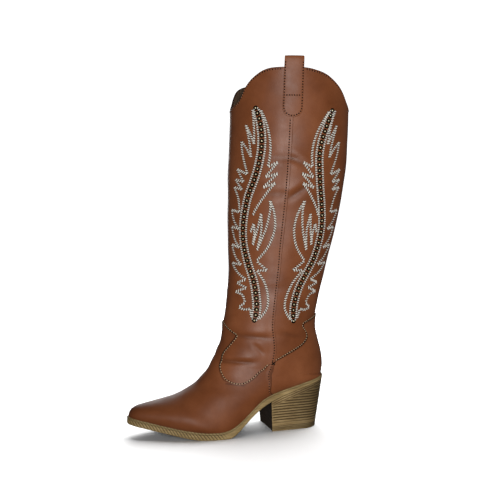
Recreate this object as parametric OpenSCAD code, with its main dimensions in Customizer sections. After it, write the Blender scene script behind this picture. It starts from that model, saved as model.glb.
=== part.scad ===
// Pull-on western boot for the left foot: leather upper, stacked-look heel,
// pull straps, flame stitching and rows of studs on the shaft.
// Frame: +Z up, toe towards -X, outer (lateral) side towards -Y, sole on Z = 0.

/* [Shaft] */
// Height of the topline at the two side seams
rim_height = 428; // [415:1:430]
// How far the topline dips at the front and at the back
rim_dip = 44; // [20:1:55]
// Turn of the shaft about the leg, seen from above, in degrees
shaft_turn = -12; // [-16:1:0]
// Place of the shaft's side seams, as a share of the way from front to back
seam_share = 0.49; // [0.475:0.005:0.5]

/* [Leather] */
// Thickness of the upper leather
leather = 1.4; // [1.2:0.1:1.6]
// Thickness of the lining
lining = 1.05; // [0.8:0.05:1.1]

/* [Sole] */
// How far the welt stands out past the upper
welt_out = 3; // [2:0.25:4]
// Thickness of the welt
welt_t = 2.4; // [2:0.1:3]
// Thickness of the insole board
board_t = 2.2; // [1.8:0.1:2.4]
// Thickness of the top lift under the heel
lift_t = 6.5; // [5:0.5:8]
// Width of the steel shank
shank_w = 14; // [10:1:18]

/* [Trim] */
// Width of a pull strap
strap_w = 23; // [20:1:28]
// Height of the fold of a pull strap
strap_top = 441; // [436:1:444]
// Diameter of a stud
stud_d = 5.4; // [4:0.2:5.6]
// Distance from one stud to the next
stud_pitch = 6.5; // [6.2:0.1:9]
// Width of a line of flame stitching
thread_w = 1.4; // [1:0.1:1.6]

/* [Hidden] */
$fn = 24;
gap = 0.05;           // clearance between layers that touch
layer_2 = -leather;   // depth of the inner face of the middle layer
layer_3 = layer_2 - gap - lining;
origin = [-2, -2.4];  // centre of the boot's box in the section table's own axes
shaft_pitch = 36;     // height between the shaft's sections
shaft_head = 440;     // height of the top section
heel_row = 13;        // section that reaches the back of the heel seat
last_row = 25;        // the toe tip
leg_axis = 50;        // the shaft turns about this X
turn_z = [90, 230];   // the turn grows between these heights
toe_x = -133.6;       // ends of the foot's outline, and the lengths that round them off
heel_x = 101.6;
toe_round = 9;
heel_round = 22;
ball = [1.5, -62, 40];    // on the medial side: how far the ball stands out, its X and reach
arch = [-4, 16, 42];      // and how far the arch is drawn in, its X and reach
tuck = 30;                // how far the upper turns in above the welt, in degrees
seam_step = 0.015;        // the side seams lie this much further forward below the ankle
step_rows = [6.5, 8.5];   // sections between which they shift
lap = 0.001;              // half the gap between the shaft panels, as a share of the girth
girth_share = 0.0045;     // share of the half girth in one millimetre at the topline

// Sections of the upper: front X, front Z, back X, back Z, half width,
// and the widest point as a share of the way from front to back.
// From heel_row on, the back point lies on the sole and its Z is worked out.
sections = [
    [-6, 440, 133, 440, 51, 0.50],
    [-9, 404, 133.7, 404, 51, 0.50],
    [-10.8, 368, 133.2, 368, 50.8, 0.50],
    [-12.2, 332, 131.6, 332, 50.2, 0.50],
    [-13.2, 296, 128, 296, 49, 0.50],
    [-13.4, 260, 121.8, 260, 46.3, 0.50],
    [-12.6, 224, 113.2, 224, 43.2, 0.50],
    [-13, 188, 104.6, 188, 40.5, 0.50],
    [-16, 152, 96.6, 150, 38.6, 0.50],
    [-19.3, 131, 94, 125, 37.6, 0.50],
    [-20.2, 118.5, 97, 107, 37, 0.50],
    [-22.8, 106.5, 101.4, 91, 36, 0.50],
    [-27.8, 95.5, 103.4, 76, 35, 0.50],
    [-32.8, 85.2, 101.6, 63, 34, 0.52],
    [-38.8, 74, 84, 0, 33.8, 0.55],
    [-46, 66, 61, 0, 34.3, 0.60],
    [-55, 57, 35, 0, 35.3, 0.66],
    [-65.2, 50.9, 8, 0, 37.2, 0.72],
    [-77.5, 45.3, -18, 0, 39.6, 0.77],
    [-90.6, 41.7, -45, 0, 39.6, 0.80],
    [-103.8, 39.2, -70, 0, 33.2, 0.80],
    [-114.8, 37.3, -92, 0, 25.2, 0.80],
    [-123.4, 35.6, -110, 0, 18.2, 0.78],
    [-129, 33, -121.5, 0, 12.7, 0.74],
    [-132.2, 29.3, -129, 0, 7.4, 0.68],
    [-133.6, 25.2, -133.6, 0, 0.3, 0.60]
];
// Top face of the welt along the boot: X, Z
sole_line = [[-142, 26.5], [-136, 25.2], [-116, 21], [-99, 17], [-83, 13.5], [-68, 10.8],
    [-54, 9], [-40, 8.3], [-30, 8.8], [-20, 11.5], [-8, 19], [4, 28.5], [14.5, 37],
    [22, 42], [32, 46.3], [47, 50.5], [63, 54.5], [80, 59], [92, 61.8], [103, 63], [110, 63.5]];
// Tread face of the outsole: X, Z
tread_line = [[-142, 17.5], [-134, 16.2], [-122, 13.8], [-107, 10.2], [-91, 6.6], [-77, 3.3],
    [-66, 1.2], [-54, 0], [-28, 0], [-20.5, 0.8], [-12, 6.2], [1, 17.6], [14.6, 28],
    [22, 32.8], [32, 37.6], [47, 43.3], [63, 48.6], [80, 54.2], [92, 57.4], [110, 59.8]];
// Half width of the foot where the upper meets the welt: X, half width
foot_line = [[-133.6, 7.2], [-115, 13.9], [-99, 19.7], [-83, 25.7], [-68, 30.6], [-54, 34.6],
    [-40, 36.9], [-29, 37.2], [-18, 36.3], [-7, 34.6], [4, 32.1], [15, 29.6], [32, 27.1],
    [47, 25.6], [63, 25.1], [101.6, 24]];

// Edges of the panels, as section number against share of the half girth
tongue_edge = [[8.95, 0.194], [10.05, 0.194], [10.9, 0.15], [11.8, 0.113], [12.95, 0.119],
    [13.55, 0.144], [14.2, 0.194], [14.85, 0.256], [15.2, 0.33]];
flank_edge = [[12.05, 0.469], [12.35, 0.444], [13.3, 0.413], [14.25, 0.406], [14.95, 0.395],
    [15.2, 0.375]];
seam_edge = [[12.05, 0.464], [12.7, 0.456], [13.3, 0.454], [13.9, 0.472], [14.6, 0.52],
    [15.1, 0.575], [15.66, 0.685], [16.1, 0.88], [16.2, 1]];
counter_edge = [[8.45, 1], [8.5, 0.875], [8.7, 0.756], [8.9, 0.694], [9.3, 0.722],
    [9.75, 0.722], [10.2, 0.681], [10.65, 0.619], [11.15, 0.556], [11.6, 0.51], [12.05, 0.47]];
front_hem = [[0, 13.6], [0.15, 14.7], [0.25, 15.6], [0.35, 15.9], [0.41, 15.2], [0.475, 13.2]];
back_hem = [[0.475, 13.1], [0.556, 12.2], [0.62, 11.7], [0.694, 11.2], [0.73, 10.8],
    [0.8, 10.4], [1, 9.9]];

// Topline: share of the half girth against share of the full dip, on each side
rim_back = [[0.475, 0], [0.558, 0.014], [0.62, 0.073], [0.671, 0.15], [0.723, 0.285],
    [0.779, 0.465], [0.819, 0.63], [0.864, 0.815], [0.93, 0.94], [1, 0.975]];
rim_lateral = concat([[0, 0.995], [0.03, 1], [0.06, 0.985], [0.1, 0.93], [0.15, 0.84],
    [0.18, 0.695], [0.202, 0.5], [0.24, 0.307], [0.28, 0.17], [0.32, 0.068], [0.37, 0.01]],
    rim_back);
rim_medial = concat([[0, 0.995], [0.03, 0.965], [0.06, 0.89], [0.09, 0.76], [0.115, 0.57],
    [0.145, 0.42], [0.19, 0.305], [0.24, 0.23], [0.3, 0.155], [0.36, 0.07], [0.42, 0.01]],
    rim_back);

// Flame stitching on one quarter of the shaft: distance from the side seam in
// hundredths of the half girth, and height. Each stroke runs from corner to corner.
spine_front = [[20.2, 382], [17.4, 367], [15.9, 346], [16.4, 325], [19, 301], [23.4, 276],
    [25.8, 249], [25.4, 226], [21.6, 202], [16.4, 179], [13.4, 158], [13, 143], [13.9, 128]];
spine_back = [[22.4, 380], [18.8, 361], [16.2, 342], [15.5, 322], [17.2, 296], [20.4, 271],
    [23.2, 250], [24, 232], [22.6, 208], [18.4, 190], [14.4, 175], [12.5, 157], [12.6, 142],
    [13.4, 128]];
front_tip = [[[17.2, 380], [14.3, 368], [12.3, 355], [11, 340], [11, 326], [11.8, 314]],
    [[22.1, 381], [21.2, 370], [20.7, 357], [20.3, 340]]];
back_tip = [[[20.2, 379], [16.8, 368], [13.5, 355], [11.4, 340], [11, 326], [11.8, 314]],
    [[24.8, 381], [22.9, 370], [21.2, 356], [20.3, 340]]];
strokes = [
    [[11.8, 314], [6.4, 320]], [[6.4, 320], [13, 302]], [[13, 302], [6, 307]],
    [[6, 307], [14, 290]], [[14, 290], [7, 296]],
    [[7, 296], [10.2, 288], [14.2, 276], [17.6, 265], [19.2, 258]],
    [[20.3, 340], [23, 352], [26.4, 364]],
    [[26.4, 364], [23.8, 346], [21.8, 325]], [[21.8, 325], [25.3, 336], [29.5, 345]],
    [[29.5, 345], [28, 329], [23.8, 306]], [[23.8, 306], [32.5, 313]],
    [[32.5, 313], [26, 297]], [[26, 297], [33.5, 301]], [[33.5, 301], [27, 288]],
    [[27, 288], [34.5, 292]], [[34.5, 292], [30.4, 279], [28.8, 262]], [[28.8, 262], [37.6, 265]],
    [[37.6, 265], [33.6, 250], [28.8, 242]], [[28.8, 242], [37, 245]],
    [[37, 245], [33.4, 229], [28.4, 220]], [[28.4, 220], [37.4, 224]],
    [[37.4, 224], [33, 209], [26.8, 200]], [[26.8, 200], [37.6, 202]],
    [[37.6, 202], [31, 191], [22.6, 183]], [[22.6, 183], [31.4, 179]], [[31.4, 179], [21.6, 174]],
    [[21.6, 174], [32.2, 169]], [[32.2, 169], [25, 166], [22, 157]], [[22, 157], [27.2, 150]],
    [[27.2, 150], [22, 147], [17.4, 149]], [[17.4, 149], [16.8, 141], [15.6, 132]],
    [[9.4, 276], [9, 262], [11, 240], [15.4, 217]], [[15.4, 217], [13.3, 240], [14, 261]],
    [[14, 261], [15.5, 244], [18.3, 223]], [[18.3, 223], [17.6, 237], [18.2, 249]],
    [[18.2, 249], [20.4, 238]], [[9.4, 276], [6.4, 260], [5.6, 241], [8.7, 221], [15.4, 205]],
    [[15.4, 205], [8, 194]], [[8, 194], [15.3, 194]],
    [[15.3, 194], [9.5, 181], [6.1, 165], [6.2, 149], [10.8, 131]]
];
// Fixings: X and Y in the table's own axes
heel_screw_at = [70, 0];
nail_spots = [[46, -14], [46, 14], [86, -9], [86, 9]];
rivet_spots = [[-16, 0], [52, 0]];
pin_spots = [[44, -12], [44, 12], [80, 0]];

// ---- plain helpers ----
function mix(a, b, u) = a + (b - a) * u;
function clamp(x, lo, hi) = min(max(x, lo), hi);
function ease(u) = let (c = clamp(u, 0, 1)) c * c * (3 - 2 * c);
function bump(u) = abs(u) < 1 ? (1 + cos(180 * u)) / 2 : 0;
function unit(a) = a / max(norm(a), 1e-9);
function spline(a, b, c, d, u) =
    0.5 * (2 * b + (c - a) * u + (2 * a - 5 * b + 4 * c - d) * u * u
        + (3 * b - a - 3 * c + d) * u * u * u);

// Smooth curve through a table of [x, y], with x rising
function slope(tab, i) =
    let (a = tab[max(i - 1, 0)], b = tab[min(i + 1, len(tab) - 1)]) (b[1] - a[1]) / (b[0] - a[0]);
function cell(tab, x, i = 0) = i >= len(tab) - 2 || x < tab[i + 1][0] ? i : cell(tab, x, i + 1);
function curve(tab, x0) =
    let (x = clamp(x0, tab[0][0], tab[len(tab) - 1][0]), i = cell(tab, x),
        h = tab[i + 1][0] - tab[i][0], u = (x - tab[i][0]) / h, u2 = u * u, u3 = u2 * u)
    (2 * u3 - 3 * u2 + 1) * tab[i][1] + (u3 - 2 * u2 + u) * h * slope(tab, i)
        + (3 * u2 - 2 * u3) * tab[i + 1][1] + (u3 - u2) * h * slope(tab, i + 1);
// Straight lines through the same kind of table
function line(tab, x0) = lookup(x0, tab);

// A point of a list of points at share f of the way along, by a smooth curve
function along(pts, f) =
    let (n = len(pts) - 1, t = clamp(f, 0, 1) * n, i = min(floor(t), n - 1))
    spline(pts[max(i - 1, 0)], pts[i], pts[i + 1], pts[min(i + 2, n)], t - i);
// The same, by straight lines from point to point
function at_share(pts, f) =
    let (n = len(pts) - 1, t = f * n, i = min(floor(t), n - 1)) mix(pts[i], pts[i + 1], t - i);
// Shares from 0 to 1 that lie closer together at both ends
function eased_share(i, n) = (1 - cos(180 * i / n)) / 2;

// ---- lines of the sole ----
function sole_top(x) = curve(sole_line, x);
function swell(b, x) = b[0] * bump((x - b[1]) / b[2]);
function tread(x) = max(0, curve(tread_line, x));
function round_end(u) = sqrt(max(0, 1 - pow(1 - clamp(u, 0, 1), 2)));
// Half width of the foot's outline on one side, grown by g; side is -1 lateral, 1 medial
function foot_half(x, g, side) =
    (curve(foot_line, x) + g + (side > 0 ? swell(ball, x) + swell(arch, x) : 0))
        * round_end((x - toe_x + g) / (toe_round + g)) * round_end((heel_x + g - x) / (heel_round + g));

// ---- the last: the face that the whole upper follows ----
function section(t, lo, hi) =
    let (i = clamp(floor(t), lo, hi - 1), b = sections[i], c = sections[i + 1])
    spline(i > lo ? sections[i - 1] : 2 * b - c, b, c, i < hi - 1 ? sections[i + 2] : 2 * c - b, t - i);
function last_point(t, v, side) =
    let (s = section(t, 0, last_row),
        foot = t > heel_row,
        b = foot ? section(t, heel_row, last_row) : section(t, 0, heel_row),
        bx = b[2], bz = foot ? sole_top(bx) : b[3],
        w = s[4], m = s[5],
        k = foot ? min(foot_half(bx, 0, side) / w, 1) : 0,
        reach = 90 - tuck * k,
        k2 = (k - cos(reach)) / (1 - cos(reach)),
        a = v < 0.5 ? v * 180 : (v - 0.5) * 2 * reach,
        along_chord = v < 0.5 ? m * (1 - cos(a)) : m + (1 - m) * sin(a) / sin(reach),
        y = side * w * (v < 0.5 ? sin(a) : k2 + (1 - k2) * cos(a)))
    [mix(s[0], bx, along_chord), y, mix(s[1], bz, along_chord)];
function turned(p) =
    let (a = shaft_turn * ease((p[2] - turn_z[0]) / (turn_z[1] - turn_z[0])), x = p[0] - leg_axis)
    [leg_axis + x * cos(a) - p[1] * sin(a) - origin[0], x * sin(a) + p[1] * cos(a) - origin[1], p[2]];
step = 0.01;
function outward(t, v, side) =
    let (tc = min(t, last_row - 0.1))
    unit(-side * cross(last_point(tc + step, v, side) - last_point(tc - step, v, side),
        last_point(tc, v + step, side) - last_point(tc, v - step, side)));
// Point at depth o from the last's face; the foot's lower edges stop on the welt
function upper(t, v, side, o) =
    let (p = last_point(t, v, side) + o * outward(t, v, side))
    turned(t > heel_row - 1 ? [p[0], p[1], max(p[2], sole_top(p[0]) + gap)] : p);
function shaft_row(z) = (shaft_head - z) / shaft_pitch;
// Place of the side seam at section t, as a share of the half girth
function seam_at(t) =
    seam_share - seam_step * ease((t - step_rows[0]) / (step_rows[1] - step_rows[0]));
function rim_z(v, side) = rim_height - rim_dip * curve(side < 0 ? rim_lateral : rim_medial, v);

// ---- sheets: a grid of outer points over a grid of inner points ----
// Rows and columns start at 0; has(i, j) says which cells of the grid exist.
module sheet(outer, inner, has = function (i, j) true) {
    rows = len(outer) - 1;
    cols = len(outer[0]) - 1;
    low = (rows + 1) * (cols + 1);
    function id(i, j) = i * (cols + 1) + j;
    function there(i, j) = i >= 0 && j >= 0 && i < rows && j < cols && has(i, j);
    function wall(a, b) = [[a, b + low, b], [a, a + low, b + low]];
    faces = [for (i = [0:rows - 1], j = [0:cols - 1]) if (there(i, j))
        let (a = id(i, j), b = id(i, j + 1), c = id(i + 1, j + 1), d = id(i + 1, j))
        each concat([[a, c, b], [a, d, c], [a + low, b + low, c + low], [a + low, c + low, d + low]],
            there(i - 1, j) ? [] : wall(b, a), there(i + 1, j) ? [] : wall(d, c),
            there(i, j - 1) ? [] : wall(a, d), there(i, j + 1) ? [] : wall(c, b))];
    polyhedron([for (row = outer) each row, for (row = inner) each row], faces);
}
// A layer of the upper between depths o1 (outer) and o2; spot(i, j) gives [t, v, side]
module layer(rows, cols, o1, o2, spot, has = function (i, j) true) {
    function grid(o) = [for (i = [0:rows]) [for (j = [0:cols])
        let (s = spot(i, j)) upper(s[0], s[1], s[2], o)]];
    sheet(grid(o1), grid(o2), has);
}

// ---- shaft ----
// A shaft panel from the topline to its hem, between shares v0 and v1 of the half girth
// and on across the centre line to the other side
module shaft_panel(front, rows, cols, o1, o2, drop) {
    far = front ? 0 : 1;
    hem = front ? front_hem : back_hem;
    short = front ? -lap : lap;
    spot = function (i, j)
        let (c = 2 * j / cols - 1, side = (front ? 1 : -1) * (c < 0 ? -1 : 1),
            v_top = mix(far, seam_share + short, abs(c)),
            v_hem = mix(far, seam_share - seam_step + short, abs(c)),
            t = mix(shaft_row(rim_z(v_top, side) - drop), line(hem, v_hem), i / rows))
        [t, mix(far, seam_at(t) + short, abs(c)), side];
    layer(rows, cols, o1, o2, spot);
}
lining_drop = 0.3;    // the lining stops this far below the topline
module shaft_front() color("saddlebrown") shaft_panel(true, 20, 28, 0, layer_2, 0);
module shaft_back() color("saddlebrown") shaft_panel(false, 18, 20, 0, layer_2, 0);
module shaft_lining_front() color("dimgray")
    shaft_panel(true, 14, 24, layer_2 - gap, layer_3, lining_drop);
module shaft_lining_back() color("dimgray")
    shaft_panel(false, 12, 16, layer_2 - gap, layer_3, lining_drop);

// ---- vamp ----
// Sections at the tongue's tip, at the flank's tip and at the bottom of the scoop between them
tongue_top = 8.95;
flank_top = 12.3;
scoop_row = 15.2;
tongue_cols = 5;          // cells from the centre line to the tongue's edge
half_cols = 13;           // cells from the centre line to the vamp's lower edge
tongue_point = 1.1;       // how far the tongue's corners lie below its tip, in sections
tongue_flare = 4;         // sections over which its rows level out
settle = 3;               // sections over which the columns spread evenly over the foot
foot_row = 16.2;          // from here on the vamp reaches down to the welt on both sides
vamp_rows = [8.95, 9.6, 10.3, 11, 11.7, 12.3, 13, 13.6, 14.2, 14.7, 15, 15.2, 15.6, 16.2, 16.9,
    17.7, 18.5, 19.4, 20.3, 21.2, 22, 22.8, 23.5, 24.2, 24.9];
function vamp_spot(i, j) =
    let (t = vamp_rows[i], c = j - half_cols, n = abs(c), side = c < 0 ? -1 : 1, f = n / tongue_cols,
        tilt = max(0, tongue_point * (1 - (t - tongue_top) / tongue_flare)),
        tt = t < scoop_row && n <= tongue_cols ? t + tilt * f : t,
        end = t < foot_row ? line(seam_edge, t) : 1,
        rest = (n - tongue_cols - 1) / (half_cols - tongue_cols - 1),
        scooped = n <= tongue_cols ? line(tongue_edge, tt) * f
            : mix(line(flank_edge, t), end, rest))
    [tt, mix(scooped, end * n / half_cols, ease((t - scoop_row) / settle)), side];
function vamp_has(i, j) =
    let (n = j >= half_cols ? j - half_cols : half_cols - 1 - j, t = vamp_rows[i])
    n < tongue_cols || t >= scoop_row || (n > tongue_cols && t >= flank_top);
module vamp() color("saddlebrown") {
    rows = len(vamp_rows) - 1;
    layer(rows, 2 * half_cols, gap + leather, gap, function (i, j) vamp_spot(i, j),
        function (i, j) vamp_has(i, j));
}
// Plain foot layers under the vamp, from section t0 to section t1
module foot_layer(t0, t1, rows, cols, o1, o2) {
    layer(rows, cols, o1, o2, function (i, j)
        let (c = 2 * j / cols - 1) [mix(t0, t1, i / rows), abs(c), c < 0 ? -1 : 1]);
}
instep_row = 16.35;       // the foot layers start here
puff_row = 21.4;          // the toe puff starts here
module toe_puff() color("tan") foot_layer(puff_row, 24.3, 6, 16, 0, layer_2);
module vamp_interlining() color("wheat") foot_layer(instep_row, puff_row - 0.1, 8, 16, 0, layer_2);
module vamp_lining() color("dimgray")
    foot_layer(instep_row, 23.6, 12, 16, layer_2 - gap, layer_3);

// ---- heel counter ----
// Quarter that runs from an upper edge down to the welt, round the back of the heel;
// top(f) gives [t, v] along the upper edge, from the back (0) to the side seam (1)
module heel_quarters(rows, cols, o1, o2, top, front_row) {
    corner = top(1);
    low_corner = [front_row, 1];
    // The front edge drops steeply at first, then sweeps forward to the welt
    seam_way = [corner, [mix(corner[0], front_row, 0.3), corner[1] - 0.008],
        [mix(corner[0], front_row, 0.62), mix(corner[1], 1, 0.12)],
        [mix(corner[0], front_row, 0.88), mix(corner[1], 1, 0.44)], low_corner];
    spot = function (i, j)
        let (c = 2 * j / cols - 1, f = abs(c), r = i / rows,
            low = [mix(heel_row, front_row, pow(f, 1.5)), 1],
            bow = along(seam_way, r) - mix(corner, low_corner, r),
            p = mix(top(f), low, r) + f * f * f * bow)
        [p[0], p[1], c < 0 ? 1 : -1];
    layer(rows, cols, o1, o2, spot);
}
// Upper edge of a layer that meets the back panel's hem, as far as share v_end
function under_hem(f, v_end) = let (v = mix(1, v_end, f)) [line(back_hem, v) + 0.15, v];
module heel_counter() color("saddlebrown")
    heel_quarters(10, 28, gap + leather, gap, function (f) at_share(counter_edge, f), 16.15);
module heel_stiffener() color("tan")
    heel_quarters(6, 20, 0, layer_2, function (f) under_hem(f, 0.6), 15.2);
module counter_lining() color("dimgray")
    heel_quarters(6, 20, layer_2 - gap, layer_3, function (f) under_hem(f, 0.49), 16.1);

// ---- pull straps ----
// The strap's way over the rim: depth from the shaft's face, and height
strap_share = seam_share - 0.003;
strap_half_t = 0.65;
strap_out = 0.75;                // depth of its middle outside the shaft
strap_in = layer_3 - 0.75;       // and inside it
strap_way = [[strap_out, 371], [strap_out, 373], [strap_out, 377], [strap_out, 383],
    [strap_out, 400], [strap_out, 424], [strap_out + 0.2, 434],
    [strap_out - 0.25, strap_top - 1.8],
    [mix(strap_out, strap_in, 0.5), strap_top - strap_half_t],
    [strap_in + 0.3, strap_top - 1.8], [strap_in - 0.2, 434], [strap_in, 424], [strap_in, 400],
    [strap_in, 383], [strap_in, 378]];
// Share of the full width at its first points, which rounds off its outer end
strap_taper = [0.3, 0.62, 0.88, 1];
module pull_strap(side) {
    n = len(strap_way) - 1;
    function way_normal(i) =
        let (d = unit(strap_way[min(i + 1, n)] - strap_way[max(i - 1, 0)])) [d[1], -d[0]];
    function grid(h) = [for (i = [0:n])
        let (k = i < 4 ? strap_taper[i] : 1, q = strap_way[i] + h * way_normal(i))
        [for (c = [-1:0.25:1])
            upper(shaft_row(q[1]), strap_share + c * k * strap_w / 2 * girth_share, side, q[0])]];
    outer = grid(strap_half_t);
    inner = grid(-strap_half_t);
    if (side < 0) sheet(outer, inner);
    else sheet(inner, outer);
}
module pull_strap_lateral() color("saddlebrown") pull_strap(-1);
module pull_strap_medial() color("saddlebrown") pull_strap(1);

// ---- sole ----
// Slab under the foot from x0 to x1; low and high give its faces at X, and grow is
// how far its edge stands past the foot's outline
module slab(x0, x1, grow, low, high, cells = 40) {
    xs = [for (i = [0:cells]) mix(x0, x1, eased_share(i, cells))];
    function face(h) = [for (x = xs) [for (side = [-1, 1])
        [x - origin[0], side * max(foot_half(x, grow, side), 0.2) - origin[1], h(x)]]];
    sheet(face(low), face(high));
}
module at_spot(p, z) translate([p[0] - origin[0], p[1] - origin[1], z]) children();
above = 80;               // high enough to cut through every layer
screw_d = 5;
nail_d = 2.2;
rivet_d = 3;
pin_d = 3;
pin_z = [2, 14];          // foot and head of a top lift pin
module heel_holes() {
    at_spot(heel_screw_at, 15) cylinder(d = screw_d, h = above);
    for (p = nail_spots) at_spot(p, 20) cylinder(d = nail_d, h = above);
}
board_in = 2.9;           // the insole board's edge lies this far inside the foot's outline
module insole_board() color("burlywood") difference() {
    slab(toe_x + 2.4, heel_x - board_in, -board_in, function (x) sole_top(x) + 2 * gap,
        function (x) sole_top(x) + 2 * gap + board_t);
    at_spot(heel_screw_at, 40) cylinder(d = 10, h = above);
    for (p = concat(nail_spots, rivet_spots)) at_spot(p, 0) cylinder(d = 4.4, h = above);
}
sock_t = 1;
pad_t = 3;                // thickness of the heel pad, which tapers off from X = 50 to 35
function pad_lift(x) = pad_t * ease((x - 35) / 15);
function board_top(x) = sole_top(x) + board_t + 3 * gap;
module sock_liner() color("peru")
    slab(toe_x + 3.5, heel_x - 3.4, -3.4, function (x) board_top(x) + pad_lift(x),
        function (x) board_top(x) + pad_lift(x) + sock_t);
module heel_pad() color("khaki")
    slab(41, heel_x - 3.8, -3.8, function (x) board_top(x), function (x) board_top(x) + pad_lift(x) - gap,
        24);
cavity = 7.5;    // the welt's inner edge lies this far inside the foot's outline
module bottom_filler() color("tan") {
    floor_z = function (x) sole_top(x) - welt_t;
    slab(toe_x + cavity + 0.5, -27, -cavity - 0.4, floor_z, function (x) sole_top(x) + gap, 24);
    difference() {
        slab(62, heel_x - cavity - 0.5, -cavity - 0.4, floor_z, function (x) sole_top(x) + gap, 16);
        heel_holes();
    }
}
module shank_strip() {
    mid_x = 18;
    half_length = 42;
    narrowing = 0.35;     // share of the width lost at each end
    cells = 16;
    xs = [for (i = [0:cells]) mix(mid_x - half_length, mid_x + half_length, i / cells)];
    function half(x) = shank_w / 2 * (1 - narrowing * abs(x - mid_x) / half_length);
    function face(o) = [for (x = xs) [for (s = [-1, 1])
        [x - origin[0], s * half(x) - origin[1], sole_top(x) + o]]];
    sheet(face(-2.1), face(-0.3));
}
module shank() color("silver") difference() {
    shank_strip();
    for (p = rivet_spots) at_spot(p, 0) cylinder(d = rivet_d, h = above);
}
module shank_rivets() color("silver") for (p = rivet_spots) {
    z = sole_top(p[0]);
    at_spot(p, z - 2.2) cylinder(d = rivet_d, h = board_t + 1.4);
    at_spot(p, z + 1.4) cylinder(d = 4.2, h = 0.8);
}
module welt_ring() {
    cells = 44;
    x_out = [toe_x - welt_out, heel_x + welt_out];
    x_in = [toe_x + cavity, heel_x - cavity];
    // One loop of the ring: lateral side from toe to heel, then back along the medial side
    function loop(xr, grow, dz) = [for (i = [0:2 * cells - 1])
        let (back = i >= cells, x = mix(xr[0], xr[1], eased_share(back ? 2 * cells - i : i, cells)),
            side = back ? 1 : -1, y = side * max(foot_half(x, grow, side), i % cells == 0 ? 0 : 0.2))
        [x - origin[0], y - origin[1], sole_top(x) + dz]];
    n = 2 * cells;
    rings = [loop(x_out, welt_out, 0), loop(x_in, -cavity, 0), loop(x_in, -cavity, -welt_t),
        loop(x_out, welt_out, -welt_t)];
    faces = [for (r = [0:3], i = [0:n - 1])
        let (s = (r + 1) % 4, j = (i + 1) % n, a = r * n + i, b = r * n + j, c = s * n + j, d = s * n + i)
        each [[a, d, c], [a, c, b]]];
    polyhedron([for (r = rings) each r], faces);
}
module welt() color("darkkhaki") welt_ring();
module outsole() color("darkkhaki") difference() {
    slab(toe_x - welt_out, heel_x + welt_out, welt_out - 0.3, function (x) tread(x),
        function (x) sole_top(x) - welt_t - gap, 48);
    heel_holes();
}

// ---- heel ----
breast = [33.4, 30.4];    // X of the heel's front face at the floor and under the sole
heel_back = 95.2;         // X of the back of the heel at the floor
heel_half = 24;           // half width at the floor
heel_narrowing = 0.04;    // half width lost per millimetre towards the back
heel_corner = 20;         // length that rounds off the back of the heel
heel_cells = 14;          // cells along each side of the heel's outline
function heel_foot_half(x) =
    (heel_half - heel_narrowing * (x - breast[0])) * round_end((heel_back - x) / heel_corner);
// Outline of the heel at share g of the way from height z_low to the outsole
function heel_ring(g, z_low) = [for (i = [-heel_cells:heel_cells])
    let (side = i < 0 ? -1 : 1, q = sin(90 * (1 - abs(i) / heel_cells)),
        xb = mix(breast[0], heel_back, q),
        xt = mix(breast[1], heel_x + welt_out - 0.4, q),
        top = [xt, side * foot_half(xt, welt_out - 0.5, side), tread(xt) - gap],
        foot = [xb, side * heel_foot_half(xb), 0],
        p = mix(foot, top, mix(z_low / top[2], 1, g)))
    [p[0] - origin[0], p[1] - origin[1], p[2]]];
module heel_loft(shares, z_low) {
    n = 2 * heel_cells + 1;
    rings = [for (f = shares) heel_ring(f, z_low)];
    m = len(rings);
    sides = [for (r = [0:m - 2], i = [0:n - 1])
        let (a = r * n + i, b = r * n + (i + 1) % n) each [[a, b + n, b], [a, a + n, b + n]]];
    // the caps are strips between the lateral and the medial half of a ring
    function cap(r, up) = [for (i = [0:heel_cells - 1])
        let (a = r * n + i, b = r * n + i + 1, c = r * n + n - 2 - i, d = r * n + n - 1 - i)
        each (up ? [[a, b, c], [a, c, d]] : [[a, c, b], [a, d, c]])];
    caps = concat(cap(0, true), cap(m - 1, false));
    polyhedron([for (r = rings) each r], [for (f = concat(sides, caps))
        if (f[0] != f[1] && f[1] != f[2] && f[0] != f[2]) f]);
}
module heel_block() color("peru") difference() {
    heel_loft([0, 0.3, 0.65, 1], lift_t + gap);
    heel_holes();
    for (p = pin_spots) at_spot(p, 0) cylinder(d = pin_d, h = pin_z[1]);
}
module top_lift() color("dimgray") difference() {
    linear_extrude(lift_t) polygon([for (p = heel_ring(0.02, 0.1)) [p[0], p[1]]]);
    for (p = pin_spots) at_spot(p, pin_z[0]) cylinder(d = pin_d, h = lift_t);
}
// A fixing whose shaft goes down from just above the welt's top face, with its head on top
module fixing(p, d, depth, head_d, head_t, head_z) {
    z = sole_top(p[0]);
    at_spot(p, z - depth) cylinder(d = d, h = depth + head_z);
    at_spot(p, z + head_z) cylinder(d = head_d, h = head_t);
}
module heel_screw() color("silver") fixing(heel_screw_at, screw_d, 38, 9.4, 2, 0.2);
module heel_nails() color("silver")
    for (p = nail_spots) fixing(p, nail_d, 24, 4, 1, 0.4);
module top_lift_pins() color("silver")
    for (p = pin_spots) at_spot(p, pin_z[0]) cylinder(d = pin_d, h = pin_z[1] - pin_z[0]);

// ---- studs ----
function quarter_spot(q, front) =
    let (t = shaft_row(q[1])) [t, seam_at(t) + (front ? -1 : 1) * q[0] / 100];
function spine_spot(f, front) = quarter_spot(along(front ? spine_front : spine_back, f), front);
function spine_point(f, front, side) = let (s = spine_spot(f, front)) upper(s[0], s[1], side, 0);
spine_steps = 120;
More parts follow.
